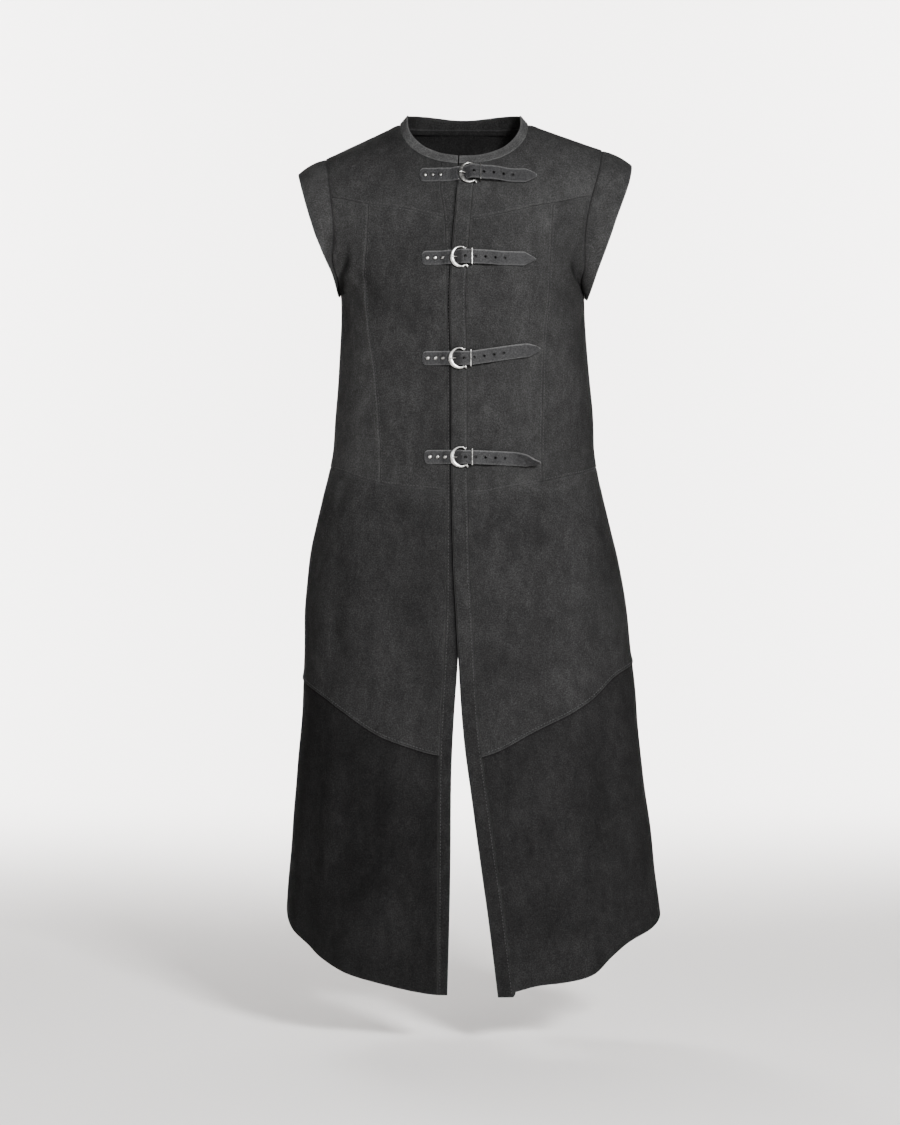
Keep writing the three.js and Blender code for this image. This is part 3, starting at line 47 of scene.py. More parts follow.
form = {
    "roundness": 2.2,
    "neckHalfWidth": 88,
    "neckDrop": 62,
    "neckRoundness": 2.15,
    "shoulderDrop": {"right": 48.5, "left": 36.5},
    "underarmDrop": {"right": 233, "left": 236},
    "armholeDepth": {"front": 68, "back": 75},
    # height, half width on the right, half width on the left
    "widths": [
        (-233, 168, 164.5), (-280, 168, 166), (-355, 173, 173), (-400, 176, 176.5),
        (-445, 179, 178), (-475, 184, 182), (-510, 193, 190), (-550, 203, 200),
        (-595, 211.5, 211), (-660, 217, 221.5), (-720, 218.5, 228), (-780, 220.5, 235),
        (-827, 223, 238.5), (-896, 229, 245), (-956, 234, 254), (-1013, 238.5, 260),
        (-1065, 242, 267), (-1200, 250, 280),
    ],
    # height, depth before the side seams, depth behind them
    "depths": [
        (0, 30, 58), (-20, 50, 68), (-45, 68, 78), (-62, 78, 84), (-95, 92, 91),
        (-130, 105, 97), (-180, 116, 101), (-235, 121, 100), (-330, 117, 92),
        (-400, 112, 85), (-490, 108, 82), (-550, 113, 96), (-620, 119, 110),
        (-800, 130, 122), (-1000, 141, 131), (-1200, 151, 141),
    ],
    # turn round the armhole from the shoulder, half width on the right, on the left
    "armhole": [(0, 189, 188.4), (45, 184, 183), (90, 176.8, 165), (135, 175.5, 160.5), (180, 168, 164.5)],
    # soft ridges and troughs: side, turn at the top, turn at the hem, width, start, rise
    "folds": [
        (-1, 0.2, 0.2, 0.09, -640, -4), (-1, 0.36, 0.4, 0.1, -560, 6),
        (-1, 0.62, 0.68, 0.09, -620, -6), (1, 0.22, 0.24, 0.08, -700, -5),
        (1, 0.34, 0.37, 0.08, -600, 8), (1, 0.56, 0.62, 0.1, -640, -7),
        (-1, 1.3, 1.34, 0.1, -560, -7), (-1, 1.5, 1.56, 0.1, -600, 8),
        (-1, 1.72, 1.78, 0.08, -620, -5), (1, 1.28, 1.3, 0.09, -600, -6),
        (1, 1.46, 1.5, 0.1, -560, 8), (1, 1.68, 1.74, 0.09, -640, -6),
    ],
    "foldHem": -1170,
}
seams = {
    # how far from the front edge to the side seam; yoke right, left; waist right, left
    "front": [
        (0, -140, -141, -504, -508), (0.1, -134, -134, -502, -504),
        (0.2, -125, -126, -499, -498), (0.3, -120, -118, -496, -493),
        (0.4, -116, -113, -492, -489), (0.5, -109, -106, -486.5, -483.5),
        (0.65, -104, -102, -478, -479), (0.8, -100, -98, -473, -474),
        (1, -96, -94, -469, -469),
    ],
    # the same; diagonal skirt seam right, left; hem right, left
    "skirt": [
        (0, -853, -859, -1174, -1183), (0.1, -850, -846, -1172, -1173),
        (0.2, -840, -826, -1166, -1163), (0.3, -828, -808.5, -1157, -1158),
        (0.4, -811, -793.5, -1147, -1147), (0.5, -795, -778, -1135.5, -1127),
        (0.65, -775.5, -750, -1117, -1106), (0.8, -762, -738, -1097, -1092),
        (1, -752, -730, -1070, -1076),
    ],
    "backDrop": {"waist": 11, "flap": 70, "hem": 42},
    # height; seam and free edge of the under band; free edge of the over band
    "edges": [
        (-55, -31, -9, -6.4), (-70, -31.3, -8.6, -7.4), (-84, -31.6, -5, -8.7), (-100, -31.7, -4.4, -10.1),
        (-135, -26.6, -4.6, -13.2),
        (-185, -24.5, -3, -17.3), (-250, -23.5, -2.5, -20.5), (-316, -23.5, -2.5, -18.5),
        (-450, -23.5, -3, -17.9), (-600, -23.5, -4, -15.2), (-660, -24.2, -6, -12.1),
        (-735, -27, -8.8, -8.1), (-795, -30.5, -13, -4.6), (-850, -33, -16.1, 0.5),
        (-900, -34, -17.5, 7.4), (-990, -34.5, -18.3, 19.6), (-1080, -35, -20, 32.3),
        (-1200, -35, -23.6, 47.2),
    ],
    "bandWidth": 21.5,
    "overBandDrop": 6,
    "princess": [
        (-110, -128.4, 120), (-165, -131, 117), (-210, -134.5, 115), (-245, -132.6, 113),
        (-290, -128, 108), (-350, -120, 105.5), (-440, -113.6, 104), (-510, -113.6, 105.5),
    ],
    "slitTop": -650,
    "slit": [
        (-650, 0, 0), (-720, -14, 8), (-800, -22, 10), (-900, -26, 18), (-1000, -28, 32),
        (-1120, -30, 51),
    ],
}
cloth = {
    "wall": 2.0,
    "bandWall": 3.0,
    "bandRise": 0.5,
    "seamGap": 0.3,
    "overlapLift": 3.8,
    "allowance": 6,
    "tuckGap": 0.3,
    "tuckWall": 1.2,
}
sideColumn = {"right": 1, "left": 2}
sideSign = {"right": -1, "left": 1}


# Smooth reading of a table by its first column.
def readRows(rows, at, column=1):
    keys = np.array([row[0] for row in rows], float)
    values = np.array([row[column] for row in rows], float)
    if keys[0] > keys[-1]:
        keys, values = keys[::-1], values[::-1]
    slopes = np.gradient(values)
    slopes[1:-1] = (values[2:] - values[:-2]) / (keys[2:] - keys[:-2])
    slopes[0] = (values[1] - values[0]) / (keys[1] - keys[0])
    slopes[-1] = (values[-1] - values[-2]) / (keys[-1] - keys[-2])
    at = np.clip(np.asarray(at, float), keys[0], keys[-1])
    i = np.clip(np.searchsorted(keys, at, side="right") - 1, 0, len(keys) - 2)
    span = keys[i + 1] - keys[i]
    s = (at - keys[i]) / span
    start = values[i] * (2 * s**3 - 3 * s**2 + 1) + slopes[i] * span * (s**3 - 2 * s**2 + s)
    return start + values[i + 1] * (3 * s**2 - 2 * s**3) + slopes[i + 1] * span * (s**3 - s**2)


# A ring's table, carried past both ends so that the ring closes smoothly.
def readRing(rows, turn, column):
    before = (-rows[1][0], *rows[1][1:])
    beyond = (360 - rows[-2][0], *rows[-2][1:])
    return readRows([before, *rows, beyond], turn, column)


def easeStep(value):
    s = np.clip(value, 0, 1)
    return s * s * (3 - 2 * s)


def mix(a, b, s):
    return a + (b - a) * s


# 1 at no distance, and nothing well past the width.
def nearness(distance, width, power=2):
    return np.exp(-((distance / width) ** power))


# How far a rounded border has dropped at a distance from it: 1 at the border, 0 past the width.
def rollOff(distance, width):
    close = 1 - np.clip(distance / width, 0, 1)
    return 1 - np.sqrt(1 - close**2)


def armholeTurn(side, z):
    top, bottom = -form["shoulderDrop"][side], -form["underarmDrop"][side]
    return np.arccos(np.clip((z - (top + bottom) / 2) / ((top - bottom) / 2), -1, 1))


def armholeLevel(side, turn):
    top, bottom = -form["shoulderDrop"][side], -form["underarmDrop"][side]
    return (top + bottom) / 2 + (top - bottom) / 2 * np.cos(turn)


# The angle of the form at which the armhole seam stands.
def armholeAngle(side, z, face):
    out = form["armholeDepth"][face] * np.sin(armholeTurn(side, z))
    depth = readRows(form["depths"], z, 1 if face == "front" else 2)
    return np.arccos(np.clip(out / depth, 0, 1) ** (form["roundness"] / 2))


def halfWidth(side, z, face):
    z = np.asarray(z, float)
    column = sideColumn[side]
    down = np.clip(-z / form["shoulderDrop"][side], 0, 1)
    shoulder = mix(form["neckHalfWidth"], form["armhole"][0][column], down)
    seam = readRing(form["armhole"], np.degrees(armholeTurn(side, z)), column)
    angle = np.clip(armholeAngle(side, z, face), 0.05, math.pi / 2)
    chest = seam / np.sin(angle) ** (2 / form["roundness"])
    body = readRows(form["widths"], z, column)
    above = z > -form["shoulderDrop"][side]
    return np.where(above, shoulder, np.where(z > -form["underarmDrop"][side], chest, body))


def foldRise(turn, z):
    rise = np.zeros(np.broadcast(turn, z).shape)
    for side, top, hem, width, start, height in form["folds"]:
        along = np.clip((start - z) / (start - form["foldHem"]), 0, 1)
        off = np.abs(turn) - mix(top, hem, along)
        rise += np.where(np.sign(turn) == side, height * easeStep(along) * nearness(off, width), 0)
    return rise


# Points of the form, in millimetres.
def formPoint(turn, z):
    turn, z = np.broadcast_arrays(np.asarray(turn, float), np.asarray(z, float))
    turn = np.where(turn > 2, turn - 4, np.where(turn < -2, turn + 4, turn))
    sign = np.where(turn < 0, -1.0, 1.0)
    across = np.sin(np.abs(turn) * math.pi / 2)
    along = np.cos(np.abs(turn) * math.pi / 2)
    isFront = along >= 0
    width = np.zeros(turn.shape)
    for side in ("right", "left"):
        for face in ("front", "back"):
            here = (sign == sideSign[side]) & (isFront == (face == "front"))
            if here.any():
                width[here] = halfWidth(side, z[here], face)
    depth = np.where(isFront, readRows(form["depths"], z, 1), readRows(form["depths"], z, 2))
    power = 2 / form["roundness"]
    x = sign * width * np.abs(across) ** power
    y = -np.sign(along) * depth * np.abs(along) ** power
    grow = 1 + foldRise(turn, z) / np.maximum(1, np.hypot(x, y))
    return np.stack([x * grow, y * grow, z], axis=-1)


def unit(vectors):
    return vectors / np.maximum(np.linalg.norm(vectors, axis=-1, keepdims=True), 1e-9)


def formNormal(turn, z):
    step = 0.004
    top = np.minimum(np.asarray(z, float) + 0.5, 0)
    across = formPoint(turn + step, z) - formPoint(turn - step, z)
    up = formPoint(turn, top) - formPoint(turn, top - 1)
    return unit(np.cross(across, up))


def turnAtX(x, z, face="front"):
    x, z = np.broadcast_arrays(np.asarray(x, float), np.asarray(z, float))
    width = np.where(x < 0, halfWidth("right", z, face), halfWidth("left", z, face))
    part = np.clip(np.abs(x) / width, 0, 1)
    turn = np.arcsin(part ** (form["roundness"] / 2)) * 2 / math.pi
    return np.where(x < 0, -1, 1) * (turn if face == "front" else 2 - turn)


# The over front rides on the under front's band, then eases back onto the form: where each
# ease starts, and over what length.
overEase = {"edge": (5, 36), "neck": (-57, 14), "hem": (-745, 85)}


def overLift(turn, z):
    x = formPoint(turn, z)[..., 0]
    (edge, edgeLength), (neck, neckLength), (hem, hemLength) = overEase.values()
    fromEdge = 1 - easeStep((x - edge) / edgeLength)
    fromHem = 1 - easeStep((hem - z) / hemLength)
    return cloth["overlapLift"] * fromEdge * easeStep((neck - z) / neckLength) * fromHem


# Creases: the face, where each starts and ends in millimetres, its width and its depth. Each is
# a trough with a soft ridge on both sides that dies away at its ends.
creases = [
    # drag lines from the underarms
    ("front", (-147, -172), (-172, -250), 7, 7), ("front", (-150, -205), (-120, -262), 9, 3.0),
    ("front", (-162, -240), (-158, -300), 8, 2.6), ("front", (134, -180), (170, -250), 7, 7),
    ("front", (136, -212), (128, -276), 8, 3.0), ("front", (163, -250), (150, -318), 8, 2.4),
    ("back", (-140, -176), (-166, -250), 6, 2.2), ("back", (138, -182), (160, -256), 6, 2.2),
    ("back", (-96, -206), (-128, -292), 12, 1.8), ("back", (104, -214), (126, -300), 12, 1.8),
    # the waist, where the fitted bodice meets the skirt
    ("front", (-176, -414), (-120, -430), 9, 1.6), ("front", (-182, -446), (-134, -456), 8, 1.5),
    ("front", (178, -408), (128, -424), 9, 1.5), ("front", (183, -440), (118, -452), 8, 1.6),
    ("back", (-172, -396), (-90, -420), 10, 2.0), ("back", (-150, -440), (-40, -452), 9, 1.8),
    ("back", (170, -404), (84, -414), 10, 2.0), ("back", (158, -438), (60, -446), 9, 1.7),
    # puckers below the waist seam
    ("front", (-50, -505), (-56, -562), 8, 2.0), ("front", (-82, -503), (-84, -548), 7, 1.9),
    ("front", (-128, -492), (-140, -556), 9, 2.3), ("front", (-160, -484), (-172, -530), 7, 1.9),
    ("front", (36, -503), (44, -560), 7, 2.2), ("front", (62, -498), (66, -540), 7, 1.9),
    ("front", (112, -488), (126, -556), 9, 2.3), ("front", (150, -482), (162, -536), 8, 1.9),
    ("back", (-60, -484), (-66, -552), 9, 2.3), ("back", (-118, -482), (-132, -540), 9, 2.2),
    ("back", (52, -484), (60, -556), 9, 2.3), ("back", (124, -480), (140, -544), 9, 2.2),
    # long soft breaks down the skirt
    ("front", (-96, -600), (-112, -800), 17, 2.9), ("front", (-168, -610), (-176, -760), 14, 2.6),
    ("front", (-70, -880), (-84, -1120), 18, 2.9), ("front", (-150, -830), (-168, -1060), 16, 3.1),
    ("front", (92, -590), (116, -770), 17, 2.9), ("front", (168, -600), (192, -740), 14, 2.6),
    ("front", (120, -860), (148, -1110), 18, 3.1), ("front", (186, -800), (214, -1010), 15, 2.9),
    ("back", (-90, -600), (-108, -790), 18, 3.4), ("back", (-150, -840), (-170, -1080), 17, 3.3),
    ("back", (80, -610), (104, -800), 18, 3.4), ("back", (150, -830), (180, -1090), 17, 3.3),
    ("back", (-70, -120), (-40, -330), 20, 2.8), ("back", (66, -110), (34, -350), 22, 2.8),
    # the chest between the closures
    ("front", (-96, -236), (-44, -292), 14, 1.2), ("front", (50, -226), (92, -300), 15, 1.2),
    ("front", (-104, -372), (-46, -424), 13, 1.3), ("front", (100, -370), (44, -430), 13, 1.3),
]
creaseShape = {
    "ridges": [(0.55, 1.8, 1.4), (0.35, -1.9, 1.6)],  # height, place and width, in parts of its own
    "fade": 0.35,                                     # part of its length in which an end dies away
}
# The hide's own unevenness: height, then two waves' lengths across and down and their start.
softWaves = [(0.7, 47, 83, 0.4, -120, 61, 0), (0.45, 23, 37, 2.1, 71, 29, 0.7)]
# Where no crease may stand: beside each strap, along the front edges and at the neck.
heldFlat = {
    "levels": (-79, -193, -326.5, -458.2), "middle": 12, "reach": 118, "tall": 24,
    "edge": 34, "edgeShare": 0.75, "neckStart": 2, "neckRun": 40,
}


def quarterLength(z):
    width = (readRows(form["widths"], z, 1) + readRows(form["widths"], z, 2)) / 2
    depth = (readRows(form["depths"], z, 1) + readRows(form["depths"], z, 2)) / 2
    return 0.8 * (width + depth)


def creaseHeight(turn, z):
    turn, z = np.broadcast_arrays(np.asarray(turn, float), np.asarray(z, float))
    turn = np.where(turn > 2, turn - 4, turn)
    around = turn * quarterLength(z)
    height = np.zeros(turn.shape)
    for rise, across, down, start, across2, down2, start2 in softWaves:
        wave = np.sin(around / across + z / down + start) * np.sin(around / across2 + z / down2 + start2)
        height += rise * wave
    for face, (x0, z0), (x1, z1), width, depth in creases:
        s0 = float(turnAtX(x0, z0, face)) * float(quarterLength(z0))
        s1 = float(turnAtX(x1, z1, face)) * float(quarterLength(z1))
        length = math.hypot(s1 - s0, z1 - z0)
        ds, dz = (s1 - s0) / length, (z1 - z0) / length
        part = ((around - s0) * ds + (z - z0) * dz) / length
        off = ((around - s0) * dz - (z - z0) * ds) / width
        fade = easeStep(part / creaseShape["fade"]) * easeStep((1 - part) / creaseShape["fade"])
        ridges = sum(rise * nearness(off - place, wide) for rise, place, wide in creaseShape["ridges"])
        height += depth * fade * (ridges - nearness(off, 1))
    front = np.abs(turn) < 1
    reach = nearness(around - heldFlat["middle"], heldFlat["reach"], 6)
    for level in heldFlat["levels"]:
        height *= 1 - np.where(front, reach * nearness(z - level, heldFlat["tall"], 4), 0)
    height *= 1 - np.where(front, heldFlat["edgeShare"] * nearness(around, heldFlat["edge"], 4), 0)
    return height * easeStep((-z - heldFlat["neckStart"]) / heldFlat["neckRun"])


# Runs of spots (turn, height) along the seams.
def spotsOf(turn, z):
    return np.stack(np.broadcast_arrays(np.asarray(turn, float), np.asarray(z, float)), axis=-1)


def steps(count):
    return np.linspace(0, 1, count + 1)


def joinRuns(*runs):
    return np.concatenate([runs[0], *(run[1:] for run in runs[1:])])


def neckAngle(x):
    return math.asin((abs(x) / form["neckHalfWidth"]) ** (form["neckRoundness"] / 2))


def neckLevel(x):
    return -form["neckDrop"] * math.cos(neckAngle(x)) ** (2 / form["neckRoundness"])


def neckRun(sign, endX, count):
    angle = mix(math.pi / 2, neckAngle(endX), steps(count))
    power = 2 / form["neckRoundness"]
    x = form["neckHalfWidth"] * np.sin(angle) ** power
    z = -form["neckDrop"] * np.abs(np.cos(angle)) ** power
    spots = spotsOf(turnAtX(sign * x, z), z)
    spots[0] = (sign, 0)
    return spots


def armholeRun(side, sign, face, fromTurn, toTurn, count):
    z = armholeLevel(side, mix(fromTurn, toTurn, steps(count)))
    angle = armholeAngle(side, z, face) * 2 / math.pi
    return spotsOf(sign * (angle if face == "front" else 2 - angle), z)


def edgeX(sign, z, part):
    if sign < 0:
        return readRows(seams["edges"], z, 1 if part == "seam" else 2)
    return readRows(seams["edges"], z, 3) + (seams["bandWidth"] if part == "seam" else 0)


def edgeRun(sign, part, fromZ, toZ, count):
    z = mix(fromZ, toZ, steps(count))
    return spotsOf(turnAtX(edgeX(sign, z, part), z), z)


def crossRun(rows, column, fromTurn, toTurn, count):
    turn = mix(fromTurn, toTurn, steps(count))
    return spotsOf(turn, readRows(rows, np.abs(turn), column))


# Steps the height towards the level of a seam that runs across, until it stays there.
def settleOn(turnAt, rows, column, z):
    for _ in range(30):
        z = mix(z, float(readRows(rows, abs(float(turnAt(z))), column)), 0.7)
    return z


# Where a seam that runs down meets a seam that runs across.
def meet(xAt, rows, column, guess):
    z = settleOn(lambda at: turnAtX(xAt(at), at), rows, column, guess)
    return float(turnAtX(xAt(z), z)), z


# Fills the area between four runs that share their corners.
def fillPatch(top, bottom, left, right, topFade=1):
    p = np.linspace(0, 1, len(top))[None, :, None]
    q = (1 - (1 - np.linspace(0, 1, len(left))) ** topFade)[:, None, None]
    upDown = mix(top[None], bottom[None], q)
    leftRight = mix(left[:, None], right[:, None], p)
    corners = mix(mix(top[0], top[-1], p), mix(bottom[0], bottom[-1], p), q)
    return upDown + leftRight - corners


# How the borders of cloth pieces are worked, in millimetres.
borderWork = {
    "steps": (0.12, 0.3, 0.6),  # extra lines next to a border, in parts of a cell
    "rollWidth": 1.6,
    "rollDrop": 0.7,
    "swellAt": 7,
    "swellWidth": 4.5,
    "swell": 0.35,
    "lapReach": 5,       # how far an over edge runs past its seam line
    "lapRise": 1.4,
    "lapRun": 13,
    "lapDip": 0.8,
    "lapDipReach": 1.6,  # in parts of the lap
    "lapWall": 1.6,
    "cutRound": 0.45,
    "rubWidth": 1.1,
}


def lineLengths(points):
    gaps = np.linalg.norm(np.diff(points, axis=1), axis=-1)
    return np.concatenate([np.zeros((len(points), 1)), np.cumsum(gaps, axis=1)], axis=1)


# Carries a border on past its seam line by a length in millimetres.
def reachPast(grid, border, reach):
    if border in ("left", "right"):
        turned = {"left": "top", "right": "bottom"}[border]
        return np.swapaxes(reachPast(np.swapaxes(grid, 0, 1), turned, reach), 0, 1)
    if border == "top":
        return reachPast(grid[::-1], "bottom", reach)[::-1]
    last, before = grid[-1], grid[-2]
    gap = np.linalg.norm(formPoint(last[:, 0], last[:, 1]) - formPoint(before[:, 0], before[:, 1]), axis=-1)
    return np.concatenate([grid, (last + (last - before) * (reach / gap)[:, None])[None]])


def refineBorders(grid):
    for axis in (0, 1):
        grid = np.moveaxis(grid, axis, 0)
        first = [mix(grid[0], grid[1], s) for s in borderWork["steps"]]
        last = [mix(grid[-1], grid[-2], s) for s in reversed(borderWork["steps"])]
        grid = np.stack([grid[0], *first, *grid[1:-1], *last, grid[-1]])
        grid = np.moveaxis(grid, 0, axis)
    return grid


# How far each point of a piece is from each of its borders.
def borderDistances(points):
    across = lineLengths(points)
    down = np.swapaxes(lineLengths(np.swapaxes(points, 0, 1)), 0, 1)
    return {"left": across, "right": across[:, -1:] - across, "top": down, "bottom": down[-1:] - down}


# The outer and inner heights of a shell over the form. Each border is a seam rolled in, an
# over edge that laps its neighbour, an under edge that dips below it, or a cut edge.
def shellHeights(distances, borders, wall):
    outer = np.zeros(distances["left"].shape)
    inner = np.full(outer.shape, -wall)
    for border, kind in borders.items():
        d = distances[border]
        roll = rollOff(d, borderWork["rollWidth"])
        if kind == "seam":
            outer -= borderWork["rollDrop"] * roll
            outer += borderWork["swell"] * nearness(d - borderWork["swellAt"], borderWork["swellWidth"])
        elif kind == "over":
            rise = easeStep(1 - d / borderWork["lapRun"])
            outer += borderWork["lapRise"] * rise
            inner += (borderWork["lapRise"] + wall - borderWork["lapWall"]) * rise
            outer -= borderWork["cutRound"] * roll
        elif kind == "under":
            outer -= borderWork["lapDip"] * easeStep(borderWork["lapDipReach"] - d / borderWork["lapReach"])
        elif kind == "edge":
            outer -= borderWork["cutRound"] * roll
            inner += borderWork["cutRound"] * roll
    return outer, inner


def drawIn(points, borders):
    half = cloth["seamGap"] / 2
    moved = points.copy()
    for border, kind in borders.items():
        if kind == "over":
            continue
        axis, index, towards = {
            "top": (0, 0, 1), "bottom": (0, -1, -2), "left": (1, 0, 1), "right": (1, -1, -2),
        }[border]
        line = np.take(points, index, axis)
        inside = np.take(points, towards, axis) - line
        along = unit(np.gradient(line, axis=0))
        inside = unit(inside - along * np.sum(inside * along, axis=-1, keepdims=True))
        target = np.moveaxis(moved, axis, 0)
        target[index] += inside * half
    return moved


# The seam allowance: two more lines past a border, lying inside under the neighbouring piece.
def tuckUnder(grids, normal, border):
    axis, index, before = {"right": (1, -1, -2), "left": (1, 0, 1), "top": (0, 0, 1)}[border]
    outer, inner = grids
    line = np.take(outer, index, axis)
    outwards = unit(line - np.take(outer, before, axis))
    out = np.take(normal, index, axis)
    outwards = unit(outwards - out * np.sum(outwards * out, axis=-1, keepdims=True))
    top = np.take(inner, index, axis) - out * cloth["tuckGap"]
    low = top - out * cloth["tuckWall"]
    # A band's allowance ends above the hem, over its last four cells.
    fromHem = np.arange(len(top))[::-1, None]
    taper = np.clip(fromHem / 4, 0, 1) if border == "left" else 1
    grown = []
    for grid, start in ((outer, top), (inner, low)):
        lines = [np.expand_dims(start + outwards * reach * taper, axis) for reach in (0, cloth["allowance"])]
        grown.append(np.concatenate([grid, *lines] if index == -1 else [*lines[::-1], grid], axis))
    return grown


def carryOn(field, border):
    axis, index = {"right": (1, -1), "left": (1, 0), "top": (0, 0)}[border]
    edge = np.expand_dims(np.take(field, index, axis), axis)
    return np.concatenate([field, edge, edge] if index == -1 else [edge, edge, field], axis)


# Closes an outer and an inner grid into one wall.
def wallMesh(name, outer, inner, uv, ring=False):
    rows, columns = outer.shape[:2]
    half = rows * columns
    verts = np.concatenate([outer.reshape(-1, 3), inner.reshape(-1, 3)]) * mm
    at = np.arange(half).reshape(rows, columns)
    if ring:
        at = np.concatenate([at, at[:, :1]], axis=1)
    a, b, c, d = at[:-1, :-1], at[1:, :-1], at[1:, 1:], at[:-1, 1:]
    faces = [np.stack([a, b, c, d], -1).reshape(-1, 4), np.stack([a, d, c, b], -1).reshape(-1, 4) + half]
    strips = [(at[0][::-1], half), (at[-1], half)]
    if not ring:
        strips += [(at[:, 0], half), (at[:, -1][::-1], half)]
    for line, shift in strips:
        faces.append(np.stack([line[:-1], line[:-1] + shift, line[1:] + shift, line[1:]], -1))
    faces = np.concatenate(faces)
    mesh = bpy.data.meshes.new(name)
    mesh.from_pydata(verts.tolist(), [], faces.tolist())
    layer = mesh.uv_layers.new(name="cloth")
    corner = np.concatenate([uv.reshape(-1, 2)] * 2)[faces.reshape(-1)] * mm
    layer.data.foreach_set("uv", corner.astype(np.float32).ravel())
    mesh.validate()
    mesh.update()
    piece = bpy.data.objects.new(name, mesh)
    bpy.context.collection.objects.link(piece)
    return piece


def pick(piece):
    bpy.ops.object.select_all(action="DESELECT")
    piece.select_set(True)
    bpy.context.view_layer.objects.active = piece


# Only corners past the angle stay sharp.
def smoothShade(piece, angle=40):
    pick(piece)
    bpy.ops.object.shade_smooth_by_angle(angle=math.radians(angle))


# Faces point outwards, and only real corners stay sharp.
def tidyShell(piece):
    shell = bmesh.new()
    shell.from_mesh(piece.data)
    bmesh.ops.recalc_face_normals(shell, faces=shell.faces)
    shell.to_mesh(piece.data)
    shell.free()
    smoothShade(piece, 50)


def finishPiece(piece, material, slotName, *nodes):
    piece.data.materials.clear()
    piece.data.materials.append(material)
    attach(piece, "root")
    if nodes:
        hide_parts(*nodes)
    return piece


# How much each kind of border is rubbed.
rubbing = {"seam": 0.2, "over": 0.2, "under": 0.0, "edge": 0.35}
# Painted shade round the body from the centre front: darker towards the side seams, where the body
# turns away from the light, with lighter and darker stretches between. Then the tone down from
# the neck: lighter across the chest, darker below the waist.
roundShade = [
    (-2, 0.9), (-1.5, 0.95), (-1.1, 0.84), (-0.92, 0.92), (-0.75, 1.06), (-0.4, 0.95), (0, 0.95), (0.3, 1.08),
    (0.55, 1.12), (0.8, 0.92), (0.95, 0.78), (1.1, 0.8), (1.5, 0.98), (2, 0.9),
]
downTone = [(0, 0.96), (-50, 1.0), (-100, 1.12), (-190, 1.0), (-480, 0.98), (-530, 0.84), (-1200, 0.82)]
# The front bands get darker towards the hem.
bandTone = [(0, 1.0), (-700, 1.0), (-900, 0.76), (-1020, 0.66), (-1200, 0.6)]
# Painted shade on the inner side of every wall.
insideShade = 0.52
# Places where the nap was brushed lighter or darker, and painted shade in the folds below the
# underarms: face, middle x and height, reach across and down in millimetres, and how much lighter.
napAndShadeSpots = [
    ("front", -74, -884, 30, 60, 0.45), ("front", -88, -1075, 30, 50, 0.3),
    ("front", -167, -812, 26, 26, 0.22), ("front", -110, -930, 22, 60, -0.3),
    ("front", -206, -830, 30, 60, -0.22), ("front", -124, -1018, 30, 40, -0.26),
    ("front", 175, -955, 14, 90, -0.18), ("front", 90, -900, 40, 60, 0.12),
    ("front", 120, -1080, 50, 30, -0.16), ("front", -107, -722, 15, 60, 0.26),
    ("front", -151, -770, 20, 30, 0.18), ("front", -124, -546, 30, 30, 0.1),
    ("front", -164, -600, 18, 60, -0.13), ("front", -60, -640, 16, 70, -0.1),
    ("front", 99, -519, 12, 14, -0.22), ("front", 106, -567, 14, 16, -0.2),
    ("front", 45, -607, 20, 40, 0.12), ("front", 153, -655, 12, 40, 0.12),
    ("front", 52, -729, 14, 12, -0.18), ("front", 38, -823, 16, 14, 0.14),
    ("front", 190, -600, 18, 70, -0.16), ("front", -100, -23, 22, 14, -0.18),
    # The next six are painted shade in the folds below the underarms.
    ("front", -157, -198, 6, 16, -0.6), ("front", -165, -224, 6, 13, -0.7),
    ("front", 147, -204, 6, 16, -0.6), ("front", 160, -228, 6, 13, -0.7),
    ("front", -145, -240, 12, 26, -0.15), ("front", 138, -244, 12, 26, -0.15),
    ("front", -82, -259, 30, 25, -0.1), ("front", 86, -134, 34, 24, 0.08),
    ("front", 128, -330, 16, 60, 0.1), ("back", -90, -160, 50, 60, 0.12),
    ("back", 70, -300, 40, 70, -0.14), ("back", -60, -420, 50, 26, 0.12), ("back", 96, -640, 20, 80, 0.2),
    ("back", -120, -700, 24, 70, -0.18), ("back", 110, -930, 34, 70, 0.3),
    ("back", -140, -1000, 30, 60, -0.25), ("back", -80, -880, 26, 40, 0.22),
    ("back", 170, -1060, 30, 40, -0.2),
]
# Painted shadow along the over front's edge, where it stands off the under band, and below the
# lapped skirt edges. It widens down the skirt.
lapShadow = {
    "width": 2.2, "spread": 0.008, "spreadFrom": -500, "over": 1.5, "depth": 0.72,
    "under": 0.6, "underWidth": 2.4,
}


# Each panel's tone, times painted shade round the body, the tone down from the neck, the nap spots with painted
# shade below the underarms, and painted shadow beside the over front's edge.
def toneAndShadeField(turn, z, dyeAndShade):
    turn = np.where(turn > 2, turn - 4, turn)
    field = dyeAndShade * readRows(roundShade, turn) * readRows(downTone, z)
    x = formPoint(turn, z)[..., 0]
    for face, middleX, middleZ, wide, tall, gain in napAndShadeSpots:
        here = (np.abs(turn) < 1) == (face == "front")
        spot = nearness(x - middleX, wide) * nearness(z - middleZ, tall)
        field = field * np.where(here, 1 + gain * spot, 1)
    # Painted shadow on the under front, beside the over front's edge.
    off = x - readRows(seams["edges"], z, 3)
    width = lapShadow["width"] + lapShadow["spread"] * np.maximum(0, lapShadow["spreadFrom"] - z)
    lapShadowHere = lapShadow["depth"] * nearness(np.minimum(0, off), width) * (off < lapShadow["over"])
    return field * np.where((turn < 0) & (turn > -1), 1 - lapShadowHere, 1)


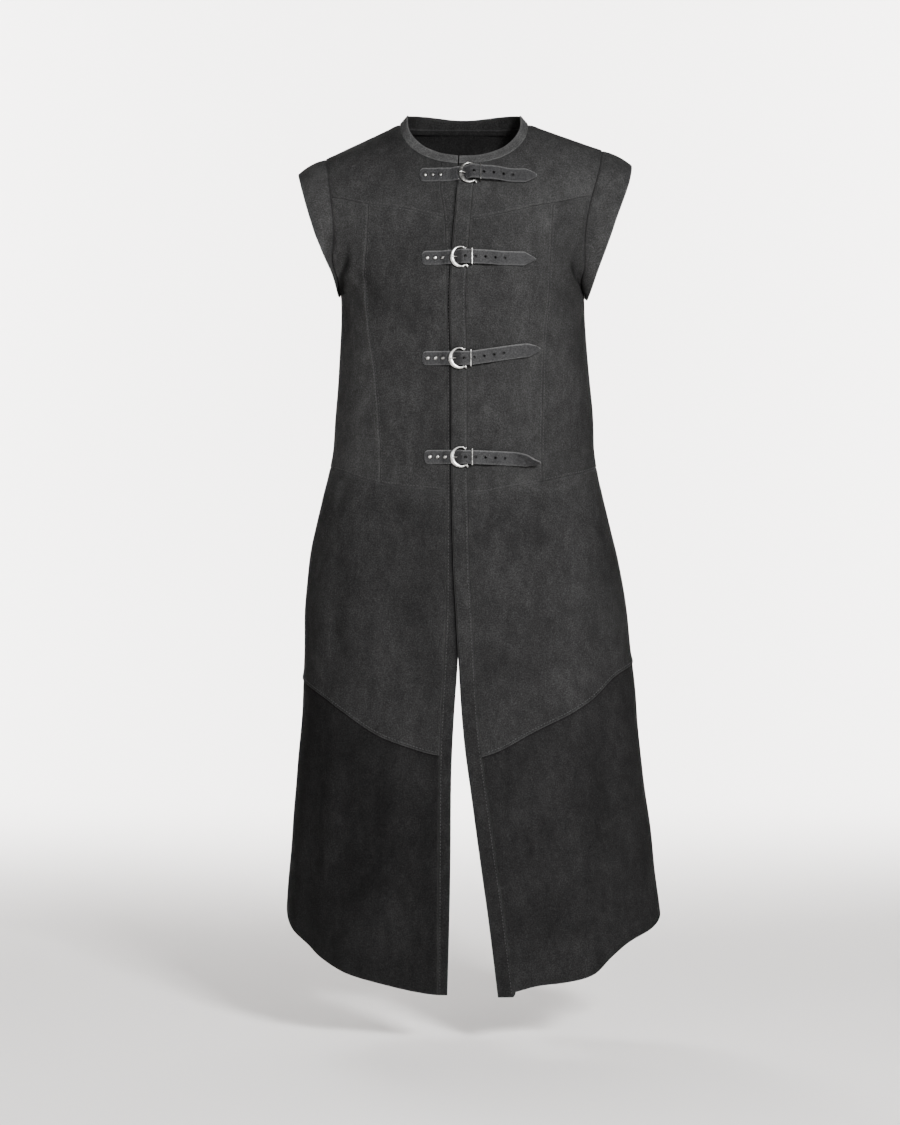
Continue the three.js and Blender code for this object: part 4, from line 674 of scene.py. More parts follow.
# Vertex marks that the materials read: rubbed places, some with a painted highlight, and each
# piece's tone with painted shade.
def markPiece(piece, rubAndHighlight, dyeAndShade):
    count = len(piece.data.vertices)
    for name, values in (("rubAndHighlight", rubAndHighlight), ("dyeAndShade", dyeAndShade)):
        marks = piece.data.attributes.new(name, "FLOAT", "POINT")
        marks.data.foreach_set("value", np.resize(values, count).astype(np.float32))


# The same for a wall: its inner side is rubbed half as much, and darkened with painted shade.
def markBothSides(piece, rubAndHighlight, dyeAndShade, rubShare=0.5, insideShadeShare=insideShade):
    rubAndHighlight, dyeAndShade = rubAndHighlight.ravel(), dyeAndShade.ravel()
    markPiece(piece, np.append(rubAndHighlight, rubAndHighlight * rubShare), np.append(dyeAndShade, dyeAndShade * insideShadeShare))


# Stitching. One stitch is modelled once and copied along each sewn line.
sewing = {"pitch": 4.4, "length": 3.2, "thickness": 0.42, "sink": 0.1, "endGap": 4}


def makeStitch():
    bpy.ops.object.select_all(action="DESELECT")
    bpy.ops.mesh.primitive_uv_sphere_add(segments=6, ring_count=4, radius=1)
    bpy.ops.object.mode_set(mode="EDIT")
    bpy.ops.mesh.select_all(action="SELECT")
    bpy.ops.transform.rotate(value=math.pi / 2, orient_axis="Y", center_override=(0, 0, 0))
    bpy.ops.transform.resize(value=(sewing["length"] / 2, sewing["thickness"], sewing["thickness"]))
    bpy.ops.object.mode_set(mode="OBJECT")
    stitch = bpy.context.object
    verts = np.array([vertex.co[:] for vertex in stitch.data.vertices])
    faces = [list(face.vertices) for face in stitch.data.polygons]
    bpy.data.objects.remove(stitch, do_unlink=True)
    return verts, faces


stitchVerts, stitchFaces = makeStitch()


# The line on a piece's outer side that keeps one distance from a border.
def borderLine(outer, normal, distance, border, offset):
    if border in ("top", "bottom"):
        outer, normal, distance = (np.swapaxes(field, 0, 1) for field in (outer, normal, distance))
    if border in ("right", "bottom"):
        outer, normal, distance = (field[:, ::-1] for field in (outer, normal, distance))
    picked = [
        [np.interp(offset, distance[i], field[i, :, k]) for field in (outer, normal) for k in range(3)]
        for i in range(len(outer))
    ]
    picked = np.array(picked)
    return picked[:, :3], picked[:, 3:]


def sewLines(name, lines, slotName):
    verts, faces, count = [], [], 0
    for points, normals in lines:
        run = np.concatenate([[0], np.cumsum(np.linalg.norm(np.diff(points, axis=0), axis=-1))])
        number = int((run[-1] - sewing["endGap"]) / sewing["pitch"])
        if number < 1:
            continue
        middle = (run[-1] - number * sewing["pitch"]) / 2 + (np.arange(number) + 0.5) * sewing["pitch"]
        at = np.stack([np.interp(middle, run, points[:, k]) for k in range(3)], -1)
        ahead = np.stack([np.interp(middle + 1, run, points[:, k]) for k in range(3)], -1)
        up = unit(np.stack([np.interp(middle, run, normals[:, k]) for k in range(3)], -1))
        along = unit(ahead - at)
        across = unit(np.cross(up, along))
        up = np.cross(along, across)
        base = at - up * sewing["sink"]
        turned = sum(stitchVerts[None, :, k, None] * way[:, None] for k, way in enumerate((along, across, up)))
        verts.append((base[:, None] + turned).reshape(-1, 3))
        for _ in range(number):
            faces += [[i + count for i in face] for face in stitchFaces]
            count += len(stitchVerts)
    mesh = bpy.data.meshes.new(name)
    mesh.from_pydata((np.concatenate(verts) * mm).tolist(), [], faces)
    sewn = bpy.data.objects.new(name, mesh)
    bpy.context.collection.objects.link(sewn)
    pick(sewn)
    bpy.ops.object.shade_smooth()
    return finishPiece(sewn, threadMaterial, slotName)


# One panel: the four runs round it, how each border is worked, the lines of stitches beside its
# borders, and the border whose seam allowance is tucked under the neighbour.
def addPanel(
    name, runs, borders, lifted, material, dyeAndShade, stitch, tuck=None,
    slotName="suede", rise=0.0, wall=cloth["wall"],
):
    grid = fillPatch(*runs)
    for border, kind in borders.items():
        if kind == "over":
            grid = reachPast(grid, border, borderWork["lapReach"])
    grid = refineBorders(grid)
    turn, z = grid[..., 0], grid[..., 1]
    base = formPoint(turn, z)
    normal = formNormal(turn, z)
    lift = rise + creaseHeight(turn, z) + (overLift(turn, z) if lifted else 0)
    distances = borderDistances(base)
    outHeight, inHeight = shellHeights(distances, borders, wall)
    placed = drawIn(base, borders)
    outer = placed + normal * (lift + outHeight)[..., None]
    inner = placed + normal * (lift + inHeight)[..., None]
    across, down = distances["left"], distances["top"]
    uv = np.stack([across - across[:, -1:] / 2, -down], axis=-1)
    grids = tuckUnder((outer, inner), normal, tuck) if tuck else (outer, inner)
    piece = wallMesh("cloth_" + name, *grids, carryOn(uv, tuck) if tuck else uv)
    tidyShell(piece)
    rubAndHighlight = np.zeros(across.shape)
    for border, kind in borders.items():
        rubAndHighlight = np.maximum(rubAndHighlight, rubbing[kind] * nearness(distances[border], borderWork["rubWidth"]))
    dyedAndShaded = toneAndShadeField(turn, z, dyeAndShade)
    if slotName == "suede_trim":
        dyedAndShaded *= readRows(bandTone, z)
    # Painted shadow on an under panel, just below the lapped edge.
    if borders["top"] == "under":
        pastLap = np.maximum(0, down - borderWork["lapReach"])
        dyedAndShaded *= 1 - lapShadow["under"] * nearness(pastLap, lapShadow["underWidth"])
    if tuck:
        rubAndHighlight, dyedAndShaded = carryOn(rubAndHighlight, tuck), carryOn(dyedAndShaded, tuck)
    markBothSides(piece, rubAndHighlight, dyedAndShaded)
    finishPiece(piece, material, slotName, name)
    lines = [borderLine(outer, normal, distances[border], border, offset) for border, offset in stitch.items()]
    thread = [sewLines(f"stitching_{name}", lines, slotName)] if lines else []


# sRGB colours, as linear ones.
def linear(hexColour):
    parts = [int(hexColour[i:i + 2], 16) / 255 for i in (1, 3, 5)]
    return (*(c / 12.92 if c <= 0.04045 else ((c + 0.055) / 1.055) ** 2.4 for c in parts), 1)


# Adds one node: settings are its own, stops are its colours along a ramp from the first to the
# last, and values and links go to its inputs.
def addNode(tree, kind, values=None, links=None, stops=(), **settings):
    node = tree.nodes.new(kind)
    for key, value in settings.items():
        setattr(node, key, value)
    if stops:
        elements = node.color_ramp.elements
        elements[0].position, elements[0].color = stops[0][0], linear(stops[0][1])
        elements[1].position, elements[1].color = stops[-1][0], linear(stops[-1][1])
        for position, colour in stops[1:-1]:
            elements.new(position).color = linear(colour)
    for socket, value in (values or {}).items():
        node.inputs[socket].default_value = value
    for socket, source in (links or {}).items():
        tree.links.new(source, node.inputs[socket])
    return node


def startMaterial(name, **surface):
    material = bpy.data.materials.new(name)
    material.use_nodes = True
    tree = material.node_tree
    shader = tree.nodes["Principled BSDF"]
    for socket, value in surface.items():
        shader.inputs[socket.replace("_", " ")].default_value = value
    place = addNode(tree, "ShaderNodeTexCoord").outputs["Object"]
    return material, tree, shader, place


# Split leather, brushed to a nap: no gloss, uneven dye, and patches that are lighter or
# darker where the nap lies another way. Cut edges and seams are rubbed lighter.
suede = {
    "colours": [(0.37, "#171717"), (0.5, "#212121"), (0.64, "#2f2f2f")],
    # The lighter colour of rubbed places, and of the painted highlight on the collar.
    "rubbedAndLit": "#575757",
    # mm across, detail, roughness, distortion
    "patch": (60, 3, 0.55, 0.6),   # where the dye took unevenly
    "stroke": (13, 4, 0.6, 0.4),   # brush strokes in the nap
    "tuft": (1.6, 3, 0.7, 0),      # real tufts are 0.5 mm and too fine to show
    "patchShare": 0.15,
    "strokeShare": 0.2,
    "tuftShare": 0.65,
    "strokeStretch": 0.5,
}


def makeSuede(name, tone):
    material, tree, shader, place = startMaterial(name, Roughness=1.0, Specular_IOR_Level=0.03)
    stretch = {"Scale": (1, 1, suede["strokeStretch"])}
    brushed = addNode(tree, "ShaderNodeMapping", stretch, {"Vector": place}).outputs["Vector"]

    noises = []
    for kind, vector in (("patch", place), ("stroke", brushed), ("tuft", place)):
        size, detail, roughness, distortion = suede[kind]
        values = {"Scale": 1000 / size, "Detail": detail, "Roughness": roughness, "Distortion": distortion}
        noises.append(addNode(tree, "ShaderNodeTexNoise", values, {"Vector": vector}).outputs["Fac"])
    patch, stroke, tuft = noises
    nap = addNode(tree, "ShaderNodeMath", {1: suede["patchShare"]}, {0: patch}, operation="MULTIPLY").outputs[0]
    for share, noise in ((suede["strokeShare"], stroke), (suede["tuftShare"], tuft)):
        links = {0: noise, 2: nap}
        nap = addNode(tree, "ShaderNodeMath", {1: share}, links, operation="MULTIPLY_ADD").outputs[0]
    ramp = addNode(tree, "ShaderNodeValToRGB", links={"Fac": nap}, stops=suede["colours"])
    # Each piece's tone, with painted shade, scales the colour.
    dyeAndShade = addNode(tree, "ShaderNodeAttribute", attribute_name="dyeAndShade").outputs["Fac"]
    toned = addNode(tree, "ShaderNodeMath", {1: tone}, {0: dyeAndShade}, operation="MULTIPLY").outputs[0]
    dyedAndShaded = addNode(
        tree, "ShaderNodeVectorMath", {}, {0: ramp.outputs["Color"], "Scale": toned}, operation="SCALE",
    ).outputs["Vector"]
    # Rubbed places, with a painted highlight on the collar, mix in the lighter colour.
    rubAndHighlight = addNode(tree, "ShaderNodeAttribute", attribute_name="rubAndHighlight").outputs["Fac"]
    worn = addNode(tree, "ShaderNodeMath", {}, {0: rubAndHighlight, 1: stroke}, operation="MULTIPLY").outputs[0]
    colour = addNode(
        tree, "ShaderNodeMix", {7: linear(suede["rubbedAndLit"])}, {0: worn, 6: dyedAndShaded}, data_type="RGBA",
    ).outputs[2]
    tree.links.new(colour, shader.inputs["Base Color"])
    soft = addNode(
        tree, "ShaderNodeBump", {"Strength": 0.5, "Distance": 0.0012}, {"Height": stroke},
    ).outputs["Normal"]
    fine = addNode(
        tree, "ShaderNodeBump", {"Strength": 0.7, "Distance": 0.0009}, {"Height": tuft, "Normal": soft},
    ).outputs["Normal"]
    tree.links.new(fine, shader.inputs["Normal"])
    return material


# Bridle leather: dyed through, smooth grain side, waxed. It shines softly where it bends,
# and the fine grain breaks the shine up.
bridle = {
    "grain": 2.4,       # mm; real pores are 0.3 mm and too fine to show
    "colours": [(0.36, "#050506"), (0.64, "#272728")],
    # The lighter colour of rubbed edges, and of the painted highlight along each strap's upper edge.
    "worn": "#5c5c5c",
    "roughness": (0.6, 0.8),
}


def makeStrapLeather():
    material, tree, shader, place = startMaterial("bridle_leather", IOR=1.45, Specular_IOR_Level=0.3)
    scale = {"Scale": 1000 / bridle["grain"]}
    pores = {**scale, "Randomness": 0.9}
    grain = addNode(
        tree, "ShaderNodeTexVoronoi", pores, {"Vector": place}, feature="DISTANCE_TO_EDGE",
    ).outputs["Distance"]
    wear = addNode(
        tree, "ShaderNodeTexNoise", {**scale, "Detail": 4, "Roughness": 0.8}, {"Vector": place},
    ).outputs["Fac"]
    ramp = addNode(tree, "ShaderNodeValToRGB", links={"Fac": wear}, stops=bridle["colours"])
    # Rubbed edges, with a painted highlight along each strap's upper edge, mix in the lighter colour.
    rubAndHighlight = addNode(tree, "ShaderNodeAttribute", attribute_name="rubAndHighlight").outputs["Fac"]
    worn = addNode(tree, "ShaderNodeMath", {}, {0: rubAndHighlight, 1: wear}, operation="MULTIPLY").outputs[0]
    # Painted shade in the holes darkens the colour.
    dyeAndShade = addNode(tree, "ShaderNodeAttribute", attribute_name="dyeAndShade").outputs["Fac"]
    dyedAndShaded = addNode(
        tree, "ShaderNodeVectorMath", {}, {0: ramp.outputs["Color"], "Scale": dyeAndShade}, operation="SCALE",
    ).outputs["Vector"]
    colour = addNode(
        tree, "ShaderNodeMix", {7: linear(bridle["worn"])}, {0: worn, 6: dyedAndShaded}, data_type="RGBA",
    ).outputs[2]
    tree.links.new(colour, shader.inputs["Base Color"])
    low, high = bridle["roughness"]
    polish = addNode(tree, "ShaderNodeMapRange", {"To Min": low, "To Max": high}, {"Value": wear})
    tree.links.new(polish.outputs["Result"], shader.inputs["Roughness"])
    pebble = addNode(
        tree, "ShaderNodeBump", {"Strength": 0.9, "Distance": 0.0008}, {"Height": grain},
    ).outputs["Normal"]
    tree.links.new(pebble, shader.inputs["Normal"])
    return material


# Cast zinc, nickel plated and antiqued, with patches of dull tarnish. Painted shade darkens each
# piece low down and in its hollows, and leaves its crown bright.
nickel = {
    "tarnish": 6,       # mm across a dull patch
    "colours": [(0.32, "#454443"), (0.56, "#bbbab7")],
    "roughness": (0.42, 0.24),
}


def makeAntiqueNickel():
    material, tree, shader, place = startMaterial("antiqued_nickel", Metallic=1.0)
    values = {"Scale": 1000 / nickel["tarnish"], "Detail": 5, "Roughness": 0.7}
    tarnish = addNode(tree, "ShaderNodeTexNoise", values, {"Vector": place}).outputs["Fac"]
    ramp = addNode(tree, "ShaderNodeValToRGB", links={"Fac": tarnish}, stops=nickel["colours"])
    # Painted shade, low on each piece, darkens the colour.
    dyeAndShade = addNode(tree, "ShaderNodeAttribute", attribute_name="dyeAndShade").outputs["Fac"]
    darkened = addNode(
        tree, "ShaderNodeVectorMath", {}, {0: ramp.outputs["Color"], "Scale": dyeAndShade}, operation="SCALE",
    ).outputs["Vector"]
    tree.links.new(darkened, shader.inputs["Base Color"])
    low, high = nickel["roughness"]
    dulled = addNode(tree, "ShaderNodeMapRange", {"To Min": low, "To Max": high}, {"Value": tarnish})
    tree.links.new(dulled.outputs["Result"], shader.inputs["Roughness"])
    dents = addNode(
        tree, "ShaderNodeBump", {"Strength": 0.3, "Distance": 0.0003}, {"Height": tarnish},
    ).outputs["Normal"]
    tree.links.new(dents, shader.inputs["Normal"])
    return material


# Spun polyester thread: two plies that catch a little light across each stitch.
polyester = {"ply": 1.2, "colours": [(0.35, "#1f1f1f"), (0.65, "#363636")]}


def makeThread():
    material, tree, shader, place = startMaterial("polyester_thread", Roughness=0.8, Specular_IOR_Level=0.2)
    ply = addNode(
        tree, "ShaderNodeTexNoise", {"Scale": 1000 / polyester["ply"], "Detail": 2}, {"Vector": place},
    ).outputs["Fac"]
    ramp = addNode(tree, "ShaderNodeValToRGB", links={"Fac": ply}, stops=polyester["colours"])
    tree.links.new(ramp.outputs["Color"], shader.inputs["Base Color"])
    return material


suedeMaterial = makeSuede("split_suede", 1.0)
trimMaterial = makeSuede("split_suede_trim", 1.08)
strapMaterial = makeStrapLeather()
metalMaterial = makeAntiqueNickel()
threadMaterial = makeThread()
print("materials made")


# Cap sleeves: rings of cloth from the armhole seam out to the opening, eased into the seam.
sleeve = {
    "depth": {"front": 78, "back": 80},
    "bulge": 2.5,
    "bands": 18,
    "nearSeam": [0, 0.012, 0.03],      # extra rings, in parts of the way out
    "nearEdge": [0.975, 0.992, 1],
    "allowance": 5,
    "allowanceSink": 0.4,              # below the body's inner side
    "waves": [(0.7, 5, {"right": 0.6, "left": 2.1}), (0.4, 11, {"right": 0, "left": 0})],
    # turn from the shoulder, half width of the opening on the right, on the left
    "opening": [(0, 227, 229.4), (45, 220.5, 224), (90, 203.5, 201.5), (135, 179, 178.5), (180, 173, 169.5)],
    "top": {"right": -68.5, "left": -56},
    "bottom": {"right": -234, "left": -240},
    "edgeRub": 0.6,
    "seamRub": 0.12,
    "seamShade": (0.55, 1.3),          # how much darker the seam line is, and its width
}


def addSleeve(side, sign, ringSpots, ringTurns):
    around = np.degrees(ringTurns)
    fold = np.where(around > 180, 360 - around, around)
    turn = np.radians(fold)
    back = np.where(around > 180, 1, -1)
    bodyNormal = formNormal(ringSpots[:, 0], ringSpots[:, 1])
    seam = formPoint(ringSpots[:, 0], ringSpots[:, 1])
    seam += bodyNormal * creaseHeight(ringSpots[:, 0], ringSpots[:, 1])[:, None]
    seam[:, 0] += sign * cloth["seamGap"]
    reach = np.where(around > 180, sleeve["depth"]["back"], sleeve["depth"]["front"])
    opening = np.stack([
        sign * readRing(sleeve["opening"], fold, sideColumn[side]),
        back * reach * np.sin(turn),
        mix(sleeve["top"][side], sleeve["bottom"][side], (1 - np.cos(turn)) / 2),
    ], axis=-1)
    outward = np.stack([0 * fold, back * np.sin(turn), np.cos(turn)], axis=-1)
    rings = np.concatenate([sleeve["nearSeam"], steps(sleeve["bands"])[1:-1], sleeve["nearEdge"]])
    part = rings[:, None, None]
    middle = mix(seam[None], opening[None], part) + outward * sleeve["bulge"] * 4 * part * (1 - part)
    length = np.linalg.norm(opening - seam, axis=-1)[None]
    fromSeam, fromEdge = part[..., 0] * length, (1 - part[..., 0]) * length
    edgeDrop = borderWork["cutRound"] * rollOff(fromEdge, borderWork["rollWidth"])
    seamDrop = borderWork["rollDrop"] * rollOff(fromSeam, borderWork["rollWidth"])
    ease = sum(rise * np.sin(count * turn[None] + start[side]) for rise, count, start in sleeve["waves"])
    ease = ease * 4 * part[..., 0] * (1 - part[..., 0])
    outer = middle + outward * (ease - seamDrop - edgeDrop)[..., None]
    inner = middle + outward * (ease - cloth["wall"] + edgeDrop)[..., None]
    # The seam allowance lies inside, under the body.
    outwards = opening - seam
    outwards = unit(outwards - bodyNormal * np.sum(outwards * bodyNormal, axis=-1, keepdims=True))
    tucked = seam - outwards * sleeve["allowance"] - bodyNormal * (cloth["wall"] + sleeve["allowanceSink"])
    outer = np.concatenate([tucked[None], outer])
    inner = np.concatenate([(tucked - bodyNormal * cloth["tuckWall"])[None], inner])
    fromSeam = np.concatenate([np.full(length.shape, float(sleeve["allowance"])), fromSeam])
    fromEdge = np.concatenate([length, fromEdge])
    closed = np.concatenate([outer, outer[:, :1]], axis=1)
    uv = np.stack([lineLengths(closed)[:, :-1], fromEdge], axis=-1)
    piece = wallMesh(f"cloth_cap_sleeve_{side}", outer, inner, uv, ring=True)
    tidyShell(piece)
    rubAndHighlight = sleeve["edgeRub"] * nearness(fromEdge, borderWork["rubWidth"])
    rubAndHighlight += sleeve["seamRub"] * nearness(fromSeam, borderWork["rubWidth"])
    shade, shadeWidth = sleeve["seamShade"]
    dyeAndShade = (panelTonesAndShade["sleeve"][side] * (1 - shade * nearness(fromSeam, shadeWidth))).ravel()
    rubAndHighlight = rubAndHighlight.ravel()
    # The inner side gets painted shade.
    markPiece(piece, np.append(rubAndHighlight, rubAndHighlight * 0.5), np.append(dyeAndShade, np.full(rubAndHighlight.size, insideShade)))
    finishPiece(piece, trimMaterial, "suede_trim", f"cap_sleeve_{side}")


# Cells of each panel: across a half, then down each stretch of a border.
columnsEach = 24
yokeRows = 32
armRows = 28
sideRows = 18
upperRows = 36
lowerRows = 40
backArmRows = 48
backColumns = 40
bandRows = 8
neckFront, bandTop = {}, {}
sewnRound = {"top": "seam", "bottom": "seam", "left": "seam", "right": "seam"}
stitchFrom = {"seam": 2.4, "waist": 2.6, "lap": 4}  # how far the stitches run from a border

# Each panel's tone, lighter or darker on each side.
panelTonesAndShade = {
    "yoke": {"right": 1.0, "left": 1.13},
    "centre": {"right": 1.03, "left": 1.06},
    "side": {"right": 1.2, "left": 0.93},
    "upperSkirt": {"right": 0.97, "left": 1.03},
    "lowerSkirt": {"right": 0.53, "left": 0.7},
    "band": {"right": 0.9, "left": 1.02},
    "sleeve": {"right": 1.2, "left": 1.25},
    "back": 0.95,
    # Painted light lightens the collar's outer side; painted shade darkens its inner side and the allowance.
    "collar": {"outside": 1.85, "inside": 0.6, "allowance": 0.42},
}

for side, sign in (("right", -1), ("left", 1)):
    column = sideColumn[side]
    lifted = side == "left"

    def seamX(z):
        return edgeX(sign, z, "seam")

    def princessX(z):
        return readRows(seams["princess"], z, column)

    neckSeamX = float(seamX(-59))
    neck = neckRun(sign, neckSeamX, yokeRows - bandRows)
    neck[-1] = (float(turnAtX(neckSeamX, neckLevel(neckSeamX))), neckLevel(neckSeamX))
    neckFront[side] = neck
    yokeBand = meet(seamX, seams["front"], column, -137)
    waistBand = meet(seamX, seams["front"], column + 2, -504)
    flapBand = meet(seamX, seams["skirt"], column, -852)
    hemBand = meet(seamX, seams["skirt"], column + 2, -1174)
    yokePrincess = meet(princessX, seams["front"], column, -118)
    waistPrincess = meet(princessX, seams["front"], column + 2, -491)

    # The yoke seam ends on the armhole.
    yokeArm = settleOn(lambda z: armholeAngle(side, z, "front") * 2 / math.pi, seams["front"], column, -107.0)
    yokeArmTurn = float(armholeTurn(side, yokeArm))
    armUpper = armholeRun(side, sign, "front", 0, yokeArmTurn, yokeRows)
    armLower = armholeRun(side, sign, "front", yokeArmTurn, math.pi, armRows)

    bandYoke = edgeRun(sign, "seam", neck[-1][1], yokeBand[1], bandRows)
    princessZ = mix(yokePrincess[1], waistPrincess[1], steps(armRows + sideRows))
    princess = spotsOf(turnAtX(princessX(princessZ), princessZ), princessZ)
    yokeCentre = crossRun(seams["front"], column, yokeBand[0], yokePrincess[0], columnsEach)
    yokeSide = crossRun(seams["front"], column, yokePrincess[0], armUpper[-1][0], columnsEach)
    yokeSide[-1] = armUpper[-1]
    waistCentre = crossRun(seams["front"], column + 2, waistBand[0], waistPrincess[0], columnsEach)
    waistSide = crossRun(seams["front"], column + 2, waistPrincess[0], sign, columnsEach)
    bandBodice = edgeRun(sign, "seam", yokeBand[1], waistBand[1], armRows + sideRows)
    shoulder = spotsOf(sign, -form["shoulderDrop"][side] * steps(2 * columnsEach))
    sideSeam = spotsOf(sign, mix(-form["underarmDrop"][side], waistSide[-1][1], steps(sideRows)))

    addPanel(
        f"front_yoke_{side}",
        (shoulder, joinRuns(yokeCentre, yokeSide), joinRuns(neck, bandYoke), armUpper),
        sewnRound, lifted, suedeMaterial, panelTonesAndShade["yoke"][side], {"bottom": stitchFrom["seam"]}, "top",
    )
    addPanel(
        f"front_centre_{side}", (yokeCentre, waistCentre, bandBodice, princess),
        sewnRound, lifted, suedeMaterial, panelTonesAndShade["centre"][side],
        {"right": stitchFrom["seam"], "top": stitchFrom["seam"], "bottom": stitchFrom["waist"]},
    )
    addPanel(
        f"front_side_{side}", (yokeSide, waistSide, princess, joinRuns(armLower, sideSeam)),
        sewnRound, lifted, suedeMaterial, panelTonesAndShade["side"][side],
        {"left": stitchFrom["seam"], "bottom": stitchFrom["waist"]}, "right",
    )

    waistAll = joinRuns(waistCentre, waistSide)
    flapAll = crossRun(seams["skirt"], column, flapBand[0], sign, 2 * columnsEach)
    hemAll = crossRun(seams["skirt"], column + 2, hemBand[0], sign, 2 * columnsEach)
    bandUpper = edgeRun(sign, "seam", waistBand[1], flapBand[1], upperRows)
    bandLower = edgeRun(sign, "seam", flapBand[1], hemBand[1], lowerRows)
    sideUpper = spotsOf(sign, mix(waistAll[-1][1], flapAll[-1][1], steps(upperRows)))
    sideLower = spotsOf(sign, mix(flapAll[-1][1], hemAll[-1][1], steps(lowerRows)))
    addPanel(
        f"skirt_upper_front_{side}", (waistAll, flapAll, bandUpper, sideUpper),
        {**sewnRound, "bottom": "over"}, lifted, suedeMaterial,
        panelTonesAndShade["upperSkirt"][side], {"bottom": stitchFrom["lap"]}, "right",
    )
    addPanel(
        f"skirt_lower_front_{side}", (flapAll, hemAll, bandLower, sideLower),
        {**sewnRound, "top": "under", "bottom": "edge"}, lifted, suedeMaterial,
        panelTonesAndShade["lowerSkirt"][side], {}, "right",
    )

    # The front band runs from the neck seam to the hem.
    seamLine = joinRuns(bandYoke, bandBodice, bandUpper, bandLower)
    seamLine[-1, 1] -= seams["overBandDrop"] if lifted else 0
    seamLine = spotsOf(turnAtX(seamX(seamLine[:, 1]), seamLine[:, 1]), seamLine[:, 1])
    edgeZ = seamLine[:, 1].copy()
    edgeZ[0] = neckLevel(float(edgeX(sign, edgeZ[0], "edge")))
    edgeLine = spotsOf(turnAtX(edgeX(sign, edgeZ, "edge"), edgeZ), edgeZ)
    bandTop[side] = edgeLine[0]
    bandEnds = [mix(seamLine[i], edgeLine[i], steps(bandRows)[:, None]) for i in (0, -1)]
    addPanel(
        f"front_band_{side}", (bandEnds[0], bandEnds[1], seamLine, edgeLine),
        {**sewnRound, "right": "edge", "bottom": "edge"}, lifted, trimMaterial,
        panelTonesAndShade["band"][side], {"left": stitchFrom["seam"]}, "left",
        "suede_trim", cloth["bandRise"], cloth["bandWall"],
    )

    ringSpots = np.concatenate([
        armUpper[:-1], armLower[:-1],
        armholeRun(side, sign, "back", math.pi, 0, backArmRows)[:-1],
    ])
    ringTurns = np.concatenate([
        mix(0, yokeArmTurn, steps(yokeRows)[:-1]), mix(yokeArmTurn, math.pi, steps(armRows)[:-1]),
        mix(math.pi, 2 * math.pi, steps(backArmRows)[:-1]),
    ])
    addSleeve(side, sign, ringSpots, ringTurns)

    # Back skirt: upper and lower panels on each side of the slit.
    def slitX(z):
        return np.where(z > seams["slitTop"], 0, readRows(seams["slit"], z, column))

    def backRun(sideZ, drop, endTurn):
        part = steps(backColumns)
        return spotsOf(mix(sign, endTurn, part), sideZ - drop * easeStep(part))

    def backEnd(sideZ, drop):
        return float(turnAtX(float(slitX(sideZ - drop)), sideZ - drop, "back"))

    def centreRun(fromZ, toZ, count):
        z = mix(fromZ, toZ, steps(count))
        x = slitX(z)
        return spotsOf(np.where(x == 0, sign * 2, turnAtX(x, z, "back")), z)

    drops = seams["backDrop"]
    backWaist = backRun(waistAll[-1][1], drops["waist"], sign * 2)
    backFlap = backRun(flapAll[-1][1], drops["flap"], backEnd(flapAll[-1][1], drops["flap"]))
    backHem = backRun(hemAll[-1][1], drops["hem"], backEnd(hemAll[-1][1], drops["hem"]))
    addPanel(
        f"back_skirt_upper_{side}",
        (backWaist, backFlap, sideUpper, centreRun(backWaist[-1][1], backFlap[-1][1], upperRows)),
        {**sewnRound, "right": "edge", "bottom": "over"}, False, suedeMaterial,
        panelTonesAndShade["upperSkirt"][side], {"bottom": stitchFrom["lap"]},
    )
    addPanel(
        f"back_skirt_lower_{side}",
        (backFlap, backHem, sideLower, centreRun(backFlap[-1][1], backHem[-1][1], lowerRows)),
        {**sewnRound, "top": "under", "right": "edge", "bottom": "edge"}, False, suedeMaterial,
        panelTonesAndShade["lowerSkirt"][side], {},
    )

# Back bodice: one piece from shoulder to waist.
backTop = joinRuns(
    spotsOf(1, -form["shoulderDrop"]["left"] * (1 - steps(12))),
    spotsOf(1 + 2 * steps(56), 0),
    spotsOf(3, -form["shoulderDrop"]["right"] * steps(12)),
)
sideWaist = float(readRows(seams["front"], 1, 3))
fromSide = 1 - np.abs(2 * steps(80) - 1)
backWaistAll = spotsOf(1 + 2 * steps(80), sideWaist - seams["backDrop"]["waist"] * easeStep(fromSide))


def backSide(side, turn):
    arm = armholeRun(side, 1, "back", 0, math.pi, backArmRows)
    if turn == 3:
        arm[:, 0] = 4 - arm[:, 0]
    low = spotsOf(turn, mix(-form["underarmDrop"][side], sideWaist, steps(sideRows)))
    return joinRuns(arm, low)


addPanel(
    "back_bodice", (backTop, backWaistAll, backSide("left", 1), backSide("right", 3), 3),
    sewnRound, False, suedeMaterial, panelTonesAndShade["back"], {"bottom": stitchFrom["waist"]},
)
print("panels made")


# Collar band: stands from the neck seam, folded over along its top edge.
collar = {
    "rise": {"front": 11.4, "side": 13.2, "back": 13.2},
    "quarterRise": 3.5,   # more between the sides and the back
    "lean": {"front": 7.6, "side": 11, "back": 6},
    "levels": (1, 0.98, 0.95, 0.9, 0.82, 0.68, 0.5, 0.3, 0.14, 0.05, 0),
    "foldWidth": 1.5,
    "foldDrop": 1.45,
    "allowanceSink": 2.8,
    # The top fold and the seam line are rubbed lighter, with a painted highlight.
    "topRubAndHighlight": (0.5, 2.2),
    "seamRub": 0.4,
    "insideRub": 0.4,
}


